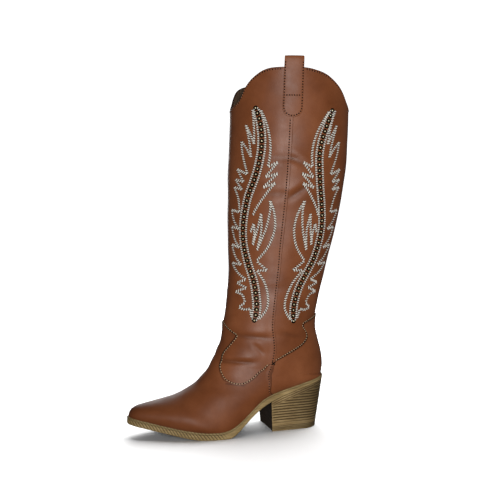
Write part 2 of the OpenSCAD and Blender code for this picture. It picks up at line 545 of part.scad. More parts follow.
// Lengths along the stud row, from its top to each step
function row_lengths(front, side) =
    let (p = [for (i = [0:spine_steps]) spine_point(i / spine_steps, front, side)])
    [for (i = 0, l = 0; i <= spine_steps;
        l = l + (i < spine_steps ? norm(p[i + 1] - p[i]) : 0), i = i + 1) [l, i / spine_steps]];
stud_gap = 0.12;     // clearance between a stud's foot and the leather
module stud() rotate_extrude()
    polygon([[0, 0], [stud_d / 2, 0], [stud_d / 2, 0.6], [stud_d * 0.4, 1.15], [stud_d * 0.27, 1.3],
        [stud_d * 0.14, 1.75], [0, 1.9]]);
module stud_row(front, side) {
    lengths = row_lengths(front, side);
    total = lengths[spine_steps][0];
    count = floor(total / stud_pitch);
    for (i = [0:count]) {
        s = spine_spot(lookup(total * i / count, lengths), front);
        p = upper(s[0], s[1], side, stud_gap);
        n = unit(upper(s[0], s[1], side, stud_gap + 1) - p);
        translate(p) rotate([0, acos(n[2]), atan2(n[1], n[0])]) stud();
    }
}
module studs_lateral_front() color("goldenrod") stud_row(true, -1);
module studs_lateral_back() color("goldenrod") stud_row(false, -1);
module studs_medial_front() color("goldenrod") stud_row(true, 1);
module studs_medial_back() color("goldenrod") stud_row(false, 1);

// ---- flame stitching ----
thread_t = 0.65;      // how far the thread stands out from the leather
corner_gap = 2.4;     // a stroke stops this far short of its neighbours
// A flat cord of thread along points of one quarter, clear of its neighbours at both ends
module thread(pts, front, side, cells) {
    function place(f, o) =
        let (s = quarter_spot(along(pts, clamp(f, 0, 1)), front)) upper(s[0], s[1], side, o);
    total = norm(place(1, 0) - place(0.5, 0)) + norm(place(0.5, 0) - place(0, 0));
    ends = [corner_gap / total, 1 - corner_gap / total];
    function ring(o) = [for (i = [0:cells])
        let (f = mix(ends[0], ends[1], i / cells), p = place(f, o),
            way = unit(place(f + 0.02, o) - place(f - 0.02, o)),
            n = unit(place(f, o + 1) - p), across = cross(n, way) * thread_w / 2)
        [p + across, p - across]];
    sheet(ring(thread_t), ring(gap));
}
module stitch_quarter(front, side) {
    for (s = concat(front ? front_tip : back_tip, strokes))
        thread(s, front, side, len(s) > 2 ? len(s) : 1);
}
module flame_stitching_lateral() color("ivory") {
    stitch_quarter(true, -1);
    stitch_quarter(false, -1);
}
module flame_stitching_medial() color("ivory") {
    stitch_quarter(true, 1);
    stitch_quarter(false, 1);
}

shaft_front();
shaft_back();
vamp();
heel_counter();
toe_puff();
vamp_interlining();
heel_stiffener();
shaft_lining_front();
shaft_lining_back();
vamp_lining();
counter_lining();
pull_strap_lateral();
pull_strap_medial();
insole_board();
sock_liner();
heel_pad();
bottom_filler();
shank();
shank_rivets();
welt();
outsole();
heel_block();
heel_screw();
heel_nails();
top_lift();
top_lift_pins();
studs_lateral_front();
studs_lateral_back();
studs_medial_front();
studs_medial_back();
flame_stitching_lateral();
flame_stitching_medial();
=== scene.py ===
"""Looks of a pull-on western boot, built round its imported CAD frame.

The upper is worked out in millimetres by the CAD model's own formulas, so each piece lies
where its node does, and meshes are made in metres. +Z is up, the toe points to -X, and the
outer (lateral) side faces -Y.
"""

import math
import random

import bmesh
import bpy
import numpy as np
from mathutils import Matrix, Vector


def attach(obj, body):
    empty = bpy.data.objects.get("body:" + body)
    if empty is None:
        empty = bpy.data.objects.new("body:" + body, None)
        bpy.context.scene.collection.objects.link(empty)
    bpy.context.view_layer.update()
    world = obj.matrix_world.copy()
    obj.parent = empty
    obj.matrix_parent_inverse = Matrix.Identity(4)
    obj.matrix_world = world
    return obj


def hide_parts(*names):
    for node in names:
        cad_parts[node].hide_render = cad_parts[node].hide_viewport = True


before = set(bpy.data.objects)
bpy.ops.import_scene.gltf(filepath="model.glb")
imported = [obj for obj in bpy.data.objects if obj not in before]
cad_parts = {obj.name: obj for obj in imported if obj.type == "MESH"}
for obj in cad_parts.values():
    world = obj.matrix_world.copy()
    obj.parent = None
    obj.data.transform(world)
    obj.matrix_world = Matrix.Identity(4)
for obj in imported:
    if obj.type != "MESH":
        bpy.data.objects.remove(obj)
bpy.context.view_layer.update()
MM = 0.001
LATERAL, MEDIAL = -1, 1

# ---- sizes in millimetres, as in the CAD model ----
RIM_HEIGHT, RIM_DIP = 428, 44
SHAFT_TURN, LEG_AXIS, TURN_Z = -12, 50, (90, 230)
SEAM_SHARE, SEAM_STEP, STEP_ROWS = 0.49, 0.015, (6.5, 8.5)
LEATHER, LINING, GAP = 1.4, 1.05, 0.05
LAYER_2 = -LEATHER
LAYER_3 = LAYER_2 - GAP - LINING
WELT_OUT, WELT_T, BOARD_T, LIFT_T = 3, 2.4, 2.2, 6.5
STRAP_W, STRAP_TOP = 23, 441
STUD_D, STUD_PITCH = 5.4, 6.5
ORIGIN = np.array([-2, -2.4, 0])
SHAFT_PITCH, SHAFT_HEAD = 36, 440
HEEL_ROW, LAST_ROW = 13, 25
TOE_X, HEEL_X, TOE_ROUND, HEEL_ROUND = -133.6, 101.6, 9, 22
BREAST = (33.4, 30.4)
HEEL_BACK, HEEL_HALF = 95.2, 24
CAVITY = 7.5

# Sections of the upper: front X, front Z, back X, back Z, half width,
# and the widest point as a share of the way from front to back
SECTIONS = np.array([
    [-6, 440, 133, 440, 51, 0.50], [-9, 404, 133.7, 404, 51, 0.50],
    [-10.8, 368, 133.2, 368, 50.8, 0.50], [-12.2, 332, 131.6, 332, 50.2, 0.50],
    [-13.2, 296, 128, 296, 49, 0.50], [-13.4, 260, 121.8, 260, 46.3, 0.50],
    [-12.6, 224, 113.2, 224, 43.2, 0.50], [-13, 188, 104.6, 188, 40.5, 0.50],
    [-16, 152, 96.6, 150, 38.6, 0.50], [-19.3, 131, 94, 125, 37.6, 0.50],
    [-20.2, 118.5, 97, 107, 37, 0.50], [-22.8, 106.5, 101.4, 91, 36, 0.50],
    [-27.8, 95.5, 103.4, 76, 35, 0.50], [-32.8, 85.2, 101.6, 63, 34, 0.52],
    [-38.8, 74, 84, 0, 33.8, 0.55], [-46, 66, 61, 0, 34.3, 0.60],
    [-55, 57, 35, 0, 35.3, 0.66], [-65.2, 50.9, 8, 0, 37.2, 0.72],
    [-77.5, 45.3, -18, 0, 39.6, 0.77], [-90.6, 41.7, -45, 0, 39.6, 0.80],
    [-103.8, 39.2, -70, 0, 33.2, 0.80], [-114.8, 37.3, -92, 0, 25.2, 0.80],
    [-123.4, 35.6, -110, 0, 18.2, 0.78], [-129, 33, -121.5, 0, 12.7, 0.74],
    [-132.2, 29.3, -129, 0, 7.4, 0.68], [-133.6, 25.2, -133.6, 0, 0.3, 0.60],
])
SOLE_LINE = [[-142, 26.5], [-136, 25.2], [-116, 21], [-99, 17], [-83, 13.5], [-68, 10.8],
    [-54, 9], [-40, 8.3], [-30, 8.8], [-20, 11.5], [-8, 19], [4, 28.5], [14.5, 37],
    [22, 42], [32, 46.3], [47, 50.5], [63, 54.5], [80, 59], [92, 61.8], [103, 63], [110, 63.5]]
TREAD_LINE = [[-142, 17.5], [-134, 16.2], [-122, 13.8], [-107, 10.2], [-91, 6.6], [-77, 3.3],
    [-66, 1.2], [-54, 0], [-28, 0], [-20.5, 0.8], [-12, 6.2], [1, 17.6], [14.6, 28],
    [22, 32.8], [32, 37.6], [47, 43.3], [63, 48.6], [80, 54.2], [92, 57.4], [110, 59.8]]
FOOT_LINE = [[-133.6, 7.2], [-115, 13.9], [-99, 19.7], [-83, 25.7], [-68, 30.6], [-54, 34.6],
    [-40, 36.9], [-29, 37.2], [-18, 36.3], [-7, 34.6], [4, 32.1], [15, 29.6], [32, 27.1],
    [47, 25.6], [63, 25.1], [101.6, 24]]

# Edges of the panels, as section number against share of the half girth
TONGUE_EDGE = [[8.95, 0.194], [10.05, 0.194], [10.9, 0.15], [11.8, 0.113], [12.95, 0.119],
    [13.55, 0.144], [14.2, 0.194], [14.85, 0.256], [15.2, 0.33]]
FLANK_EDGE = [[12.05, 0.469], [12.35, 0.444], [13.3, 0.413], [14.25, 0.406], [14.95, 0.395],
    [15.2, 0.375]]
COUNTER_EDGE = [[8.45, 1], [8.5, 0.875], [8.7, 0.756], [8.9, 0.694], [9.3, 0.722],
    [9.75, 0.722], [10.2, 0.681], [10.65, 0.619], [11.15, 0.556], [11.6, 0.51], [12.05, 0.47]]
FRONT_HEM = [[0, 13.6], [0.15, 14.7], [0.25, 15.6], [0.35, 15.9], [0.41, 15.2], [0.475, 13.2]]
BACK_HEM = [[0.475, 13.1], [0.556, 12.2], [0.62, 11.7], [0.694, 11.2], [0.73, 10.8],
    [0.8, 10.4], [1, 9.9]]

# Topline: share of the half girth against share of the full dip, on each side
RIM_BACK = [[0.475, 0], [0.558, 0.014], [0.62, 0.073], [0.671, 0.15], [0.723, 0.285],
    [0.779, 0.465], [0.819, 0.63], [0.864, 0.815], [0.93, 0.94], [1, 0.975]]
RIM_LATERAL = [[0, 0.995], [0.03, 1], [0.06, 0.985], [0.1, 0.93], [0.15, 0.84], [0.18, 0.695],
    [0.202, 0.5], [0.24, 0.307], [0.28, 0.17], [0.32, 0.068], [0.37, 0.01]] + RIM_BACK
RIM_MEDIAL = [[0, 0.995], [0.03, 0.965], [0.06, 0.89], [0.09, 0.76], [0.115, 0.57], [0.145, 0.42],
    [0.19, 0.305], [0.24, 0.23], [0.3, 0.155], [0.36, 0.07], [0.42, 0.01]] + RIM_BACK

# Flame stitching on one quarter of the shaft: distance from the side seam in hundredths
# of the half girth, and height. Each stroke runs from corner to corner.
SPINE_FRONT = [[20.2, 382], [17.4, 367], [15.9, 346], [16.4, 325], [19, 301], [23.4, 276],
    [25.8, 249], [25.4, 226], [21.6, 202], [16.4, 179], [13.4, 158], [13, 143], [13.9, 128]]
SPINE_BACK = [[22.4, 380], [18.8, 361], [16.2, 342], [15.5, 322], [17.2, 296], [20.4, 271],
    [23.2, 250], [24, 232], [22.6, 208], [18.4, 190], [14.4, 175], [12.5, 157], [12.6, 142],
    [13.4, 128]]
FRONT_TIP = [[[17.2, 380], [14.3, 368], [12.3, 355], [11, 340], [11, 326], [11.8, 314]],
    [[22.1, 381], [21.2, 370], [20.7, 357], [20.3, 340]]]
BACK_TIP = [[[20.2, 379], [16.8, 368], [13.5, 355], [11.4, 340], [11, 326], [11.8, 314]],
    [[24.8, 381], [22.9, 370], [21.2, 356], [20.3, 340]]]
STROKES = [
    [[11.8, 314], [6.4, 320]], [[6.4, 320], [13, 302]], [[13, 302], [6, 307]],
    [[6, 307], [14, 290]], [[14, 290], [7, 296]],
    [[7, 296], [10.2, 288], [14.2, 276], [17.6, 265], [19.2, 258]],
    [[20.3, 340], [23, 352], [26.4, 364]],
    [[26.4, 364], [23.8, 346], [21.8, 325]], [[21.8, 325], [25.3, 336], [29.5, 345]],
    [[29.5, 345], [28, 329], [23.8, 306]], [[23.8, 306], [32.5, 313]],
    [[32.5, 313], [26, 297]], [[26, 297], [33.5, 301]], [[33.5, 301], [27, 288]],
    [[27, 288], [34.5, 292]], [[34.5, 292], [30.4, 279], [28.8, 262]], [[28.8, 262], [37.6, 265]],
    [[37.6, 265], [33.6, 250], [28.8, 242]], [[28.8, 242], [37, 245]],
    [[37, 245], [33.4, 229], [28.4, 220]], [[28.4, 220], [37.4, 224]],
    [[37.4, 224], [33, 209], [26.8, 200]], [[26.8, 200], [37.6, 202]],
    [[37.6, 202], [31, 191], [22.6, 183]], [[22.6, 183], [31.4, 179]], [[31.4, 179], [21.6, 174]],
    [[21.6, 174], [32.2, 169]], [[32.2, 169], [25, 166], [22, 157]], [[22, 157], [27.2, 150]],
    [[27.2, 150], [22, 147], [17.4, 149]], [[17.4, 149], [16.8, 141], [15.6, 132]],
    [[9.4, 276], [9, 262], [11, 240], [15.4, 217]], [[15.4, 217], [13.3, 240], [14, 261]],
    [[14, 261], [15.5, 244], [18.3, 223]], [[18.3, 223], [17.6, 237], [18.2, 249]],
    [[18.2, 249], [20.4, 238]], [[9.4, 276], [6.4, 260], [5.6, 241], [8.7, 221], [15.4, 205]],
    [[15.4, 205], [8, 194]], [[8, 194], [15.3, 194]],
    [[15.3, 194], [9.5, 181], [6.1, 165], [6.2, 149], [10.8, 131]],
]

# Folds of the leather: side, X, Z, slope in degrees, half length, width and depth
FOLDS = [
    (LATERAL, -14, 86.5, -2, 24, 3.0, 1.5), (LATERAL, 7, 116, -4, 22, 3.4, 1.0),
    (LATERAL, 55, 117, -14, 15, 3.2, 0.8), (LATERAL, 15, 102, -48, 9, 2.6, 0.6),
    (LATERAL, 41, 324, -4, 17, 4.0, 0.9), (LATERAL, 58, 320, -28, 14, 3.4, 0.9),
    (LATERAL, 33, 283, 2, 14, 4.0, 0.9), (LATERAL, 57, 285, 34, 15, 3.6, 1.3),
    (LATERAL, 28, 172, 3, 16, 3.6, 0.5),
    (MEDIAL, -8, 92, 4, 22, 3.2, 1.2), (MEDIAL, 20, 118, -6, 20, 3.6, 0.9),
    (MEDIAL, 58, 112, 18, 14, 3.2, 0.7), (MEDIAL, 40, 300, 12, 24, 4.4, 0.9),
    (MEDIAL, 66, 262, -20, 20, 4.0, 0.8), (MEDIAL, 30, 180, -4, 18, 4.0, 0.5),
]


# ---- curves ----
def mix(a, b, u):
    return a + (b - a) * u


def ease(u):
    c = np.clip(u, 0, 1)
    return c * c * (3 - 2 * c)


def bump(u):
    """A smooth hump from -1 to 1, one high at 0."""
    return np.where(np.abs(u) < 1, (1 + np.cos(np.pi * u)) / 2, 0)


def hill(u):
    """A bell curve, one high at 0."""
    return np.exp(-(u**2))


def side_of(c):
    return np.where(c < 0, LATERAL, MEDIAL)


def unit(a):
    return a / np.maximum(np.linalg.norm(a, axis=-1, keepdims=True), 1e-9)


def curve(table, x):
    """Smooth curve through a table of [x, y] with x rising."""
    xs, ys = np.array(table, float).T
    slope = np.empty_like(xs)
    slope[1:-1] = (ys[2:] - ys[:-2]) / (xs[2:] - xs[:-2])
    slope[0], slope[-1] = (ys[1] - ys[0]) / (xs[1] - xs[0]), (ys[-1] - ys[-2]) / (xs[-1] - xs[-2])
    x = np.clip(x, xs[0], xs[-1])
    i = np.clip(np.searchsorted(xs, x, side="right") - 1, 0, len(xs) - 2)
    h = xs[i + 1] - xs[i]
    u = (x - xs[i]) / h
    return ((2 * u**3 - 3 * u**2 + 1) * ys[i] + (u**3 - 2 * u**2 + u) * h * slope[i]
            + (3 * u**2 - 2 * u**3) * ys[i + 1] + (u**3 - u**2) * h * slope[i + 1])


def line(table, x):
    """Straight runs through a table of [x, y]."""
    xs, ys = np.array(table, float).T
    return np.interp(x, xs, ys)


def through(points, t, straight_ends=True):
    """Catmull-Rom curve through a list of points, at index t."""
    p = np.array(points, float)
    first, last = (2 * p[0] - p[1], 2 * p[-1] - p[-2]) if straight_ends else (p[0], p[-1])
    p = np.vstack([first, p, last])
    i = np.clip(np.floor(t).astype(int), 0, len(points) - 2)
    u = (np.asarray(t) - i)[..., None]
    a, b, c, d = p[i], p[i + 1], p[i + 2], p[i + 3]
    return 0.5 * (2 * b + (c - a) * u + (2 * a - 5 * b + 4 * c - d) * u**2
                  + (3 * b - a - 3 * c + d) * u**3)


def along(points, f):
    """The same curve at share f of its points."""
    return through(points, np.clip(f, 0, 1) * (len(points) - 1), straight_ends=False)


def run_of(points):
    """Length along a line of points, from its start to each of them."""
    return np.concatenate([[0], np.cumsum(np.linalg.norm(np.diff(points, axis=0), axis=1))])


# ---- the sole's lines and the foot's outline ----
def sole_top(x):
    return curve(SOLE_LINE, x)


def tread(x):
    return np.maximum(0, curve(TREAD_LINE, x))


def round_end(u):
    """Quarter circle: from 0 at 0 up to 1 at 1."""
    return np.sqrt(np.maximum(0, 1 - (1 - np.clip(u, 0, 1)) ** 2))


def foot_half(x, grow, side):
    """Half width of the foot's outline on one side, grown by grow."""
    bulge = np.where(np.asarray(side) > 0, 1.5 * bump((x + 62) / 40) - 4 * bump((x - 16) / 42), 0)
    ends = (round_end((x - TOE_X + grow) / (TOE_ROUND + grow))
            * round_end((HEEL_X + grow - x) / (HEEL_ROUND + grow)))
    return (curve(FOOT_LINE, x) + grow + bulge) * ends


# ---- the face that the whole upper follows ----
def last_point(t, v, side):
    """Point at section t, share v of the half girth from the front, on one side. On the foot the
    section's underside is flat, and k is its half width as a share of the widest, w."""
    t, v, side = np.broadcast_arrays(np.asarray(t, float), np.asarray(v, float), side)
    front = through(SECTIONS, t)
    leg = through(SECTIONS[:HEEL_ROW + 1], np.minimum(t, HEEL_ROW))
    foot = through(SECTIONS[HEEL_ROW:], np.maximum(t - HEEL_ROW, 0))
    on_foot = t > HEEL_ROW
    back_x = np.where(on_foot, foot[..., 2], leg[..., 2])
    back_z = np.where(on_foot, sole_top(back_x), leg[..., 3])
    w, m = front[..., 4], front[..., 5]
    k = np.where(on_foot, np.minimum(foot_half(back_x, 0, side) / w, 1), 0)
    reach = np.radians(90 - 30 * k)
    k2 = (k - np.cos(reach)) / (1 - np.cos(reach))
    a1, a2 = np.pi * v, (v - 0.5) * 2 * reach
    chord = np.where(v < 0.5, m * (1 - np.cos(a1)), m + (1 - m) * np.sin(a2) / np.sin(reach))
    y = side * w * np.where(v < 0.5, np.sin(a1), k2 + (1 - k2) * np.cos(a2))
    return np.stack([mix(front[..., 0], back_x, chord), y, mix(front[..., 1], back_z, chord)], -1)


def turned(p):
    """The shaft's turn about the leg, and the step into the frame's own axes."""
    a = np.radians(SHAFT_TURN * ease((p[..., 2] - TURN_Z[0]) / (TURN_Z[1] - TURN_Z[0])))
    x, y = p[..., 0] - LEG_AXIS, p[..., 1]
    return np.stack([LEG_AXIS + x * np.cos(a) - y * np.sin(a), x * np.sin(a) + y * np.cos(a),
                     p[..., 2]], -1) - ORIGIN


def outward(t, v, side):
    """Direction out of the last's face."""
    step = 0.01
    tc = np.minimum(t, LAST_ROW - 0.1)
    down = last_point(tc + step, v, side) - last_point(tc - step, v, side)
    round_leg = last_point(tc, v + step, side) - last_point(tc, v - step, side)
    return unit(-np.asarray(side)[..., None] * np.cross(down, round_leg))


def creases(p):
    """How far the leather stands out (+) or is drawn in (-) along its folds."""
    x, y, z = p[..., 0], p[..., 1], p[..., 2]
    d = 0 * x
    for side, cx, cz, slope, half, width, depth in FOLDS:
        a, s = math.radians(slope), np.clip(y * side / 14, 0, 1)
        lengthwise = ((x - cx) * math.cos(a) + (z - cz) * math.sin(a)) / half
        across = (-(x - cx) * math.sin(a) + (z - cz) * math.cos(a)) / width
        hollow = -hill(across) + 0.55 * hill((across - 2.1) / 1.4)
        hollow = hollow + 0.4 * hill((across + 2.2) / 1.5)
        d = d + depth * ease(s) * np.exp(-lengthwise**4) * hollow
    return d


def folds(p):
    """The same with the leather's soft waves, fading out towards the sole and the topline."""
    x, y, z = p[..., 0], p[..., 1], p[..., 2]
    d = 0.45 * np.sin(z / 17 + x / 31 + 0.6) * np.sin(x / 21 - z / 47 + y / 27)
    d = d + 0.25 * np.sin(z / 9.5 - x / 15) * np.sin(x / 12 + z / 31 - y / 19)
    return (d + creases(p)) * ease((z - 66) / 26) * ease((424 - z) / 30)


def painted_fold_shade(t, v, side):
    """Painted shade: dark in the bottoms of the folds."""
    return 0.36 * np.clip(-creases(turned(last_point(t, v, side))), 0, 1)


def skin(t, v, side, depth=0.0):
    """Point of the upper at a depth from the last's face, with the leather's folds."""
    t, v = np.asarray(t, float), np.asarray(v, float)
    base = last_point(t, v, side)
    lift = np.asarray(depth + folds(turned(base)))
    p = base + lift[..., None] * outward(t, v, side)
    floor_z = np.where(t > HEEL_ROW - 1, sole_top(p[..., 0]) + GAP, -1)
    p[..., 2] = np.maximum(p[..., 2], floor_z)
    return turned(p)


def shaft_row(z):
    """Section number at a height up the shaft."""
    return (SHAFT_HEAD - z) / SHAFT_PITCH


def seam_at(t):
    """Place of the side seam, as a share of the half girth."""
    return SEAM_SHARE - SEAM_STEP * ease((t - STEP_ROWS[0]) / (STEP_ROWS[1] - STEP_ROWS[0]))


def rim_z(v, side):
    """Height of the topline."""
    dip = np.where(np.asarray(side) < 0, curve(RIM_LATERAL, v), curve(RIM_MEDIAL, v))
    return RIM_HEIGHT - RIM_DIP * dip


# ---- meshes ----
def placed(name, data):
    """A new object in the scene."""
    thing = bpy.data.objects.new(name, data)
    bpy.context.scene.collection.objects.link(thing)
    return thing


class Shape:
    """Points in millimetres and faces with a material number, gathered bit by bit."""

    def __init__(self):
        self.points, self.faces, self.finish, self.count = [], [], [], 0
        self.marks = []

    def add(self, points, faces, more_faces=(), material=0, marks=0.0):
        """More_faces take the next material; marks, from 0 to 1, darken the colour: painted shade in
        grooves, folds and joins, and some darker edges.
        """
        points = np.asarray(points, float).reshape(-1, 3)
        self.marks.append(np.broadcast_to(np.asarray(marks, float).reshape(-1), (len(points),)))
        self.points.append(points)
        for lot, number in ((faces, material), (more_faces, material + 1)):
            self.faces += [tuple(int(i) + self.count for i in f) for f in lot]
            self.finish += [number] * len(lot)
        self.count += len(points)

    def make(self, name, finishes, replaces=(), sharp=38, bevel=0.0):
        """A piece riding on the boot's one body; replaces names the CAD nodes it stands for."""
        mesh = bpy.data.meshes.new(name)
        mesh.from_pydata((np.vstack(self.points) * MM).tolist(), [], self.faces)
        mesh.polygons.foreach_set("material_index", self.finish)
        mark = mesh.attributes.new("mark", "FLOAT", "POINT")
        mark.data.foreach_set("value", np.concatenate(self.marks).astype(np.float32))
        clean = bmesh.new()
        clean.from_mesh(mesh)
        loose = [v for v in clean.verts if not v.link_faces]
        bmesh.ops.delete(clean, geom=loose, context="VERTS")
        bmesh.ops.recalc_face_normals(clean, faces=clean.faces)
        clean.to_mesh(mesh)
        clean.free()
        mesh.polygons.foreach_set("use_smooth", [True] * len(mesh.polygons))
        mesh.set_sharp_from_angle(angle=math.radians(sharp))
        for finish in finishes:
            mesh.materials.append(FINISH[finish])
        piece = placed(name, mesh)
        if bevel:
            rounding = piece.modifiers.new("rounded_edges", "BEVEL")
            rounding.width = bevel * MM
            rounding.segments = 2
            rounding.limit_method = "ANGLE"
            rounding.angle_limit = math.radians(50)
        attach(piece, "root")
        if replaces:
            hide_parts(*replaces)
        return piece


def sheet(shape, outer, inner, has=None, marks=0.0):
    """A closed sheet between two grids of points; has says which cells exist. Its edges take the
    second material."""
    rows, cols = outer.shape[0] - 1, outer.shape[1] - 1
    has = np.ones((rows, cols), bool) if has is None else has
    low = (rows + 1) * (cols + 1)
    face, wall = [], []
    for i, j in zip(*np.nonzero(has)):
        a = i * (cols + 1) + j
        b, c, d = a + 1, a + cols + 2, a + cols + 1
        face += [(a, d, c, b), (a + low, b + low, c + low, d + low)]
        for near, p, q in ((i > 0 and has[i - 1, j], a, b), (i < rows - 1 and has[i + 1, j], c, d),
                           (j > 0 and has[i, j - 1], d, a), (j < cols - 1 and has[i, j + 1], b, c)):
            if not near:
                wall.append((p, q, q + low, p + low))
    points = np.vstack([outer.reshape(-1, 3), inner.reshape(-1, 3)])
    marks = np.tile(np.broadcast_to(marks, outer.shape[:2]).reshape(-1), 2)
    shape.add(points, face, wall, marks=marks)


def between_rings(count, rings, closed=False):
    """Faces between rings of count points; closed joins the last ring to the first."""
    return [(r * count + i, r * count + (i + 1) % count,
             (r + 1) % rings * count + (i + 1) % count, (r + 1) % rings * count + i)
            for r in range(rings if closed else rings - 1) for i in range(count)]


def grain_template(rings=5, sides=6):
    """Points and faces of one plump thread stitch, one unit in radius along each axis."""
    xs = -np.cos(np.linspace(0, np.pi, rings + 2))[1:-1]
    turn = np.linspace(0, 2 * np.pi, sides, endpoint=False)
    body = [[x, math.sqrt(1 - x**4) * math.cos(a), math.sqrt(1 - x**4) * math.sin(a)]
            for x in xs for a in turn]
    points = np.array([[-1, 0, 0]] + body + [[1, 0, 0]])
    end = len(points) - 1
    edges = [(s, (s + 1) % sides) for s in range(sides)]
    faces = [(0, 1 + n, 1 + s) for s, n in edges]
    faces += [tuple(i + 1 for i in face) for face in between_rings(sides, rings)]
    faces += [(end - sides + s, end - sides + n, end) for s, n in edges]
    return points, faces


GRAIN = grain_template()
# Flattened spots for the painted shade under and between stitches.
SHADE_SPOT = grain_template(rings=2)


def add_grains(shape, centre, way, normal, length, width, height, material=0, template=GRAIN):
    """Thread stitches at centres, each lying along its way on a surface with that normal."""
    grain, grain_faces = template
    across = unit(np.cross(normal, way))
    up = unit(np.cross(way, across))
    size = np.broadcast_to(np.asarray(length, float), (len(centre),))[:, None, None] / 2
    points = (centre[:, None] + grain[None, :, :1] * size * way[:, None]
              + grain[None, :, 1:2] * width / 2 * across[:, None]
              + grain[None, :, 2:] * height / 2 * up[:, None])
    faces = [tuple(i + k * len(grain) for i in f) for k in range(len(centre)) for f in grain_faces]
    shape.add(points, faces, material=material)


# ---- lines on the upper ----
def shifted(t, v, side, distance):
    """The line (t, v) moved over the surface by a distance, to its left seen from outside."""
    e = 0.002
    by_t = (skin(t + e, v, side) - skin(t - e, v, side)) / (2 * e)
    by_v = (skin(t, v + e, side) - skin(t, v - e, side)) / (2 * e)
    way = unit(np.gradient(skin(t, v, side), axis=0))
    left = np.cross(outward_of(t, v, side), way) * np.asarray(distance)[..., None]
    tt, vv, tv = (by_t**2).sum(-1), (by_v**2).sum(-1), (by_t * by_v).sum(-1)
    lt, lv = (by_t * left).sum(-1), (by_v * left).sum(-1)
    det = tt * vv - tv**2
    return t + (lt * vv - lv * tv) / det, v + (lv * tt - lt * tv) / det


def outward_of(t, v, side):
    """Direction out of the upper, with its folds, in the frame's own axes."""
    return unit(skin(t, v, side, 1.0) - skin(t, v, side, 0.0))


def stations(t, v, side, depth, pitch, trim=(0.0, 0.0)):
    """Evenly spaced places on the line (t, v): place, direction and normal of each."""
    length = run_of(skin(t, v, side, depth))
    usable = length[-1] - trim[0] - trim[1]
    count = max(int(round(usable / pitch)), 1)
    s = trim[0] + usable * (np.arange(count) + 0.5) / count

    def at(d):
        d = np.clip(d, 0, length[-1])
        return skin(np.interp(d, length, t), np.interp(d, length, v), side, depth)

    def turn(d):
        return outward_of(np.interp(d, length, t), np.interp(d, length, v), side)

    return at(s), unit(at(s + 0.3) - at(s - 0.3)), turn(s)


TAN, BROWN = 0, 2        # threads by their place in SEAM_FINISH
# The middle finish is near-black painted shade, for needle holes and the beds under stitches.
SEAM_FINISH = ("tan", "stitch_shade", "brown")
LEATHER_FINISH = ("leather", "edge")


def add_seam(shape, t, v, side, depth, thread=TAN, stitch_shade=1.4, trim=(0.0, 0.0)):
    """A row of machine stitches with a near-black spot of painted shade for the needle hole between
    each two.
    """
    pitch, stitch, width, height = 3.1, 1.7, 1.05, 0.66
    centre, way, normal = stations(t, v, side, depth, pitch, trim)
    add_grains(shape, centre + 0.12 * normal, way, normal, stitch, width, height, thread)
    holes = centre[:-1] + np.diff(centre, axis=0) / 2
    add_grains(shape, holes + 0.15 * normal[:-1], way[:-1], normal[:-1], stitch_shade, stitch_shade, 0.5, 1, SHADE_SPOT)


# ---- materials ----
class Finish:
    """A procedural material: one Principled shader and the nodes that feed it."""

    def __init__(self, name, **constants):
        self.material = bpy.data.materials.new(name)
        self.material.use_nodes = True
        self.nodes = self.material.node_tree.nodes
        self.links = self.material.node_tree.links
        self.shader = self.nodes["Principled BSDF"]
        for socket, value in constants.items():
            self.shader.inputs[socket.replace("_", " ")].default_value = value
        self.place = self.nodes.new("ShaderNodeTexCoord").outputs["Object"]

    def node(self, kind, outlet, **inputs):
        """Outlet of a new node, with its inputs set, or linked where the value is a socket."""
        node = self.nodes.new("ShaderNode" + kind)
        for name, value in inputs.items():
            self.feed(value, node.inputs[name.replace("_", " ")])
        return node.outputs[outlet]

    def feed(self, value, socket):
        if isinstance(value, bpy.types.NodeSocket):
            self.links.new(value, socket)
        else:
            socket.default_value = value

    def mapped(self, scale=(1, 1, 1), turn=(0, 0, 0)):
        return self.node("Mapping", "Vector", Vector=self.place, Scale=scale,
                         Rotation=[math.radians(a) for a in turn])

    def noise(self, scale, detail=4.0, rough=0.55, where=None, distortion=0.0):
        return self.node("TexNoise", "Fac", Vector=where or self.place, Scale=scale,
                         Detail=detail, Roughness=rough, Distortion=distortion)

    def darkened(self, colour, dark, strength=1.0):
        """The colour turning to dark where the mesh is marked, as painted shade in grooves, folds and
        joins, and on darker edges.
        """
        node = self.nodes.new("ShaderNodeAttribute")
        node.attribute_name = "mark"
        share = self.between(node.outputs["Fac"], 0, 1, 0, strength)
        return self.blend(colour, dark, share)

    def cells(self, scale):
        return self.node("TexVoronoi", "Distance", Vector=self.place, Scale=scale)

    def ramp(self, value, stops):
        node = self.nodes.new("ShaderNodeValToRGB")
        elements = node.color_ramp.elements
        while len(elements) < len(stops):
            elements.new(0.5)
        for element, (place, colour) in zip(elements, stops):
            element.position = place
            element.color = (*colour, 1)
        self.links.new(value, node.inputs["Fac"])
        return node.outputs["Color"]

    def between(self, value, low, high, out_low, out_high):
        return self.node("MapRange", "Result", Value=value, From_Min=low, From_Max=high,
                         To_Min=out_low, To_Max=out_high)

    def blend(self, a, b, share, kind="MIX"):
        node = self.nodes.new("ShaderNodeMix")
        node.data_type = "RGBA"
        node.blend_type = kind
        for place, value in ((0, share), (6, a), (7, b)):
            self.feed((*value, 1) if isinstance(value, tuple) else value, node.inputs[place])
        return node.outputs[2]

    def set(self, socket, value):
        self.links.new(value, self.shader.inputs[socket])

    def raise_by(self, height, distance, strength, **under):
        """A fine relief, in millimetres, on the one given as Normal where there is one."""
        normal = self.node("Bump", "Normal", Height=height, Distance=distance * MM,
                           Strength=strength, **under)
        self.set("Normal", normal)
        return normal


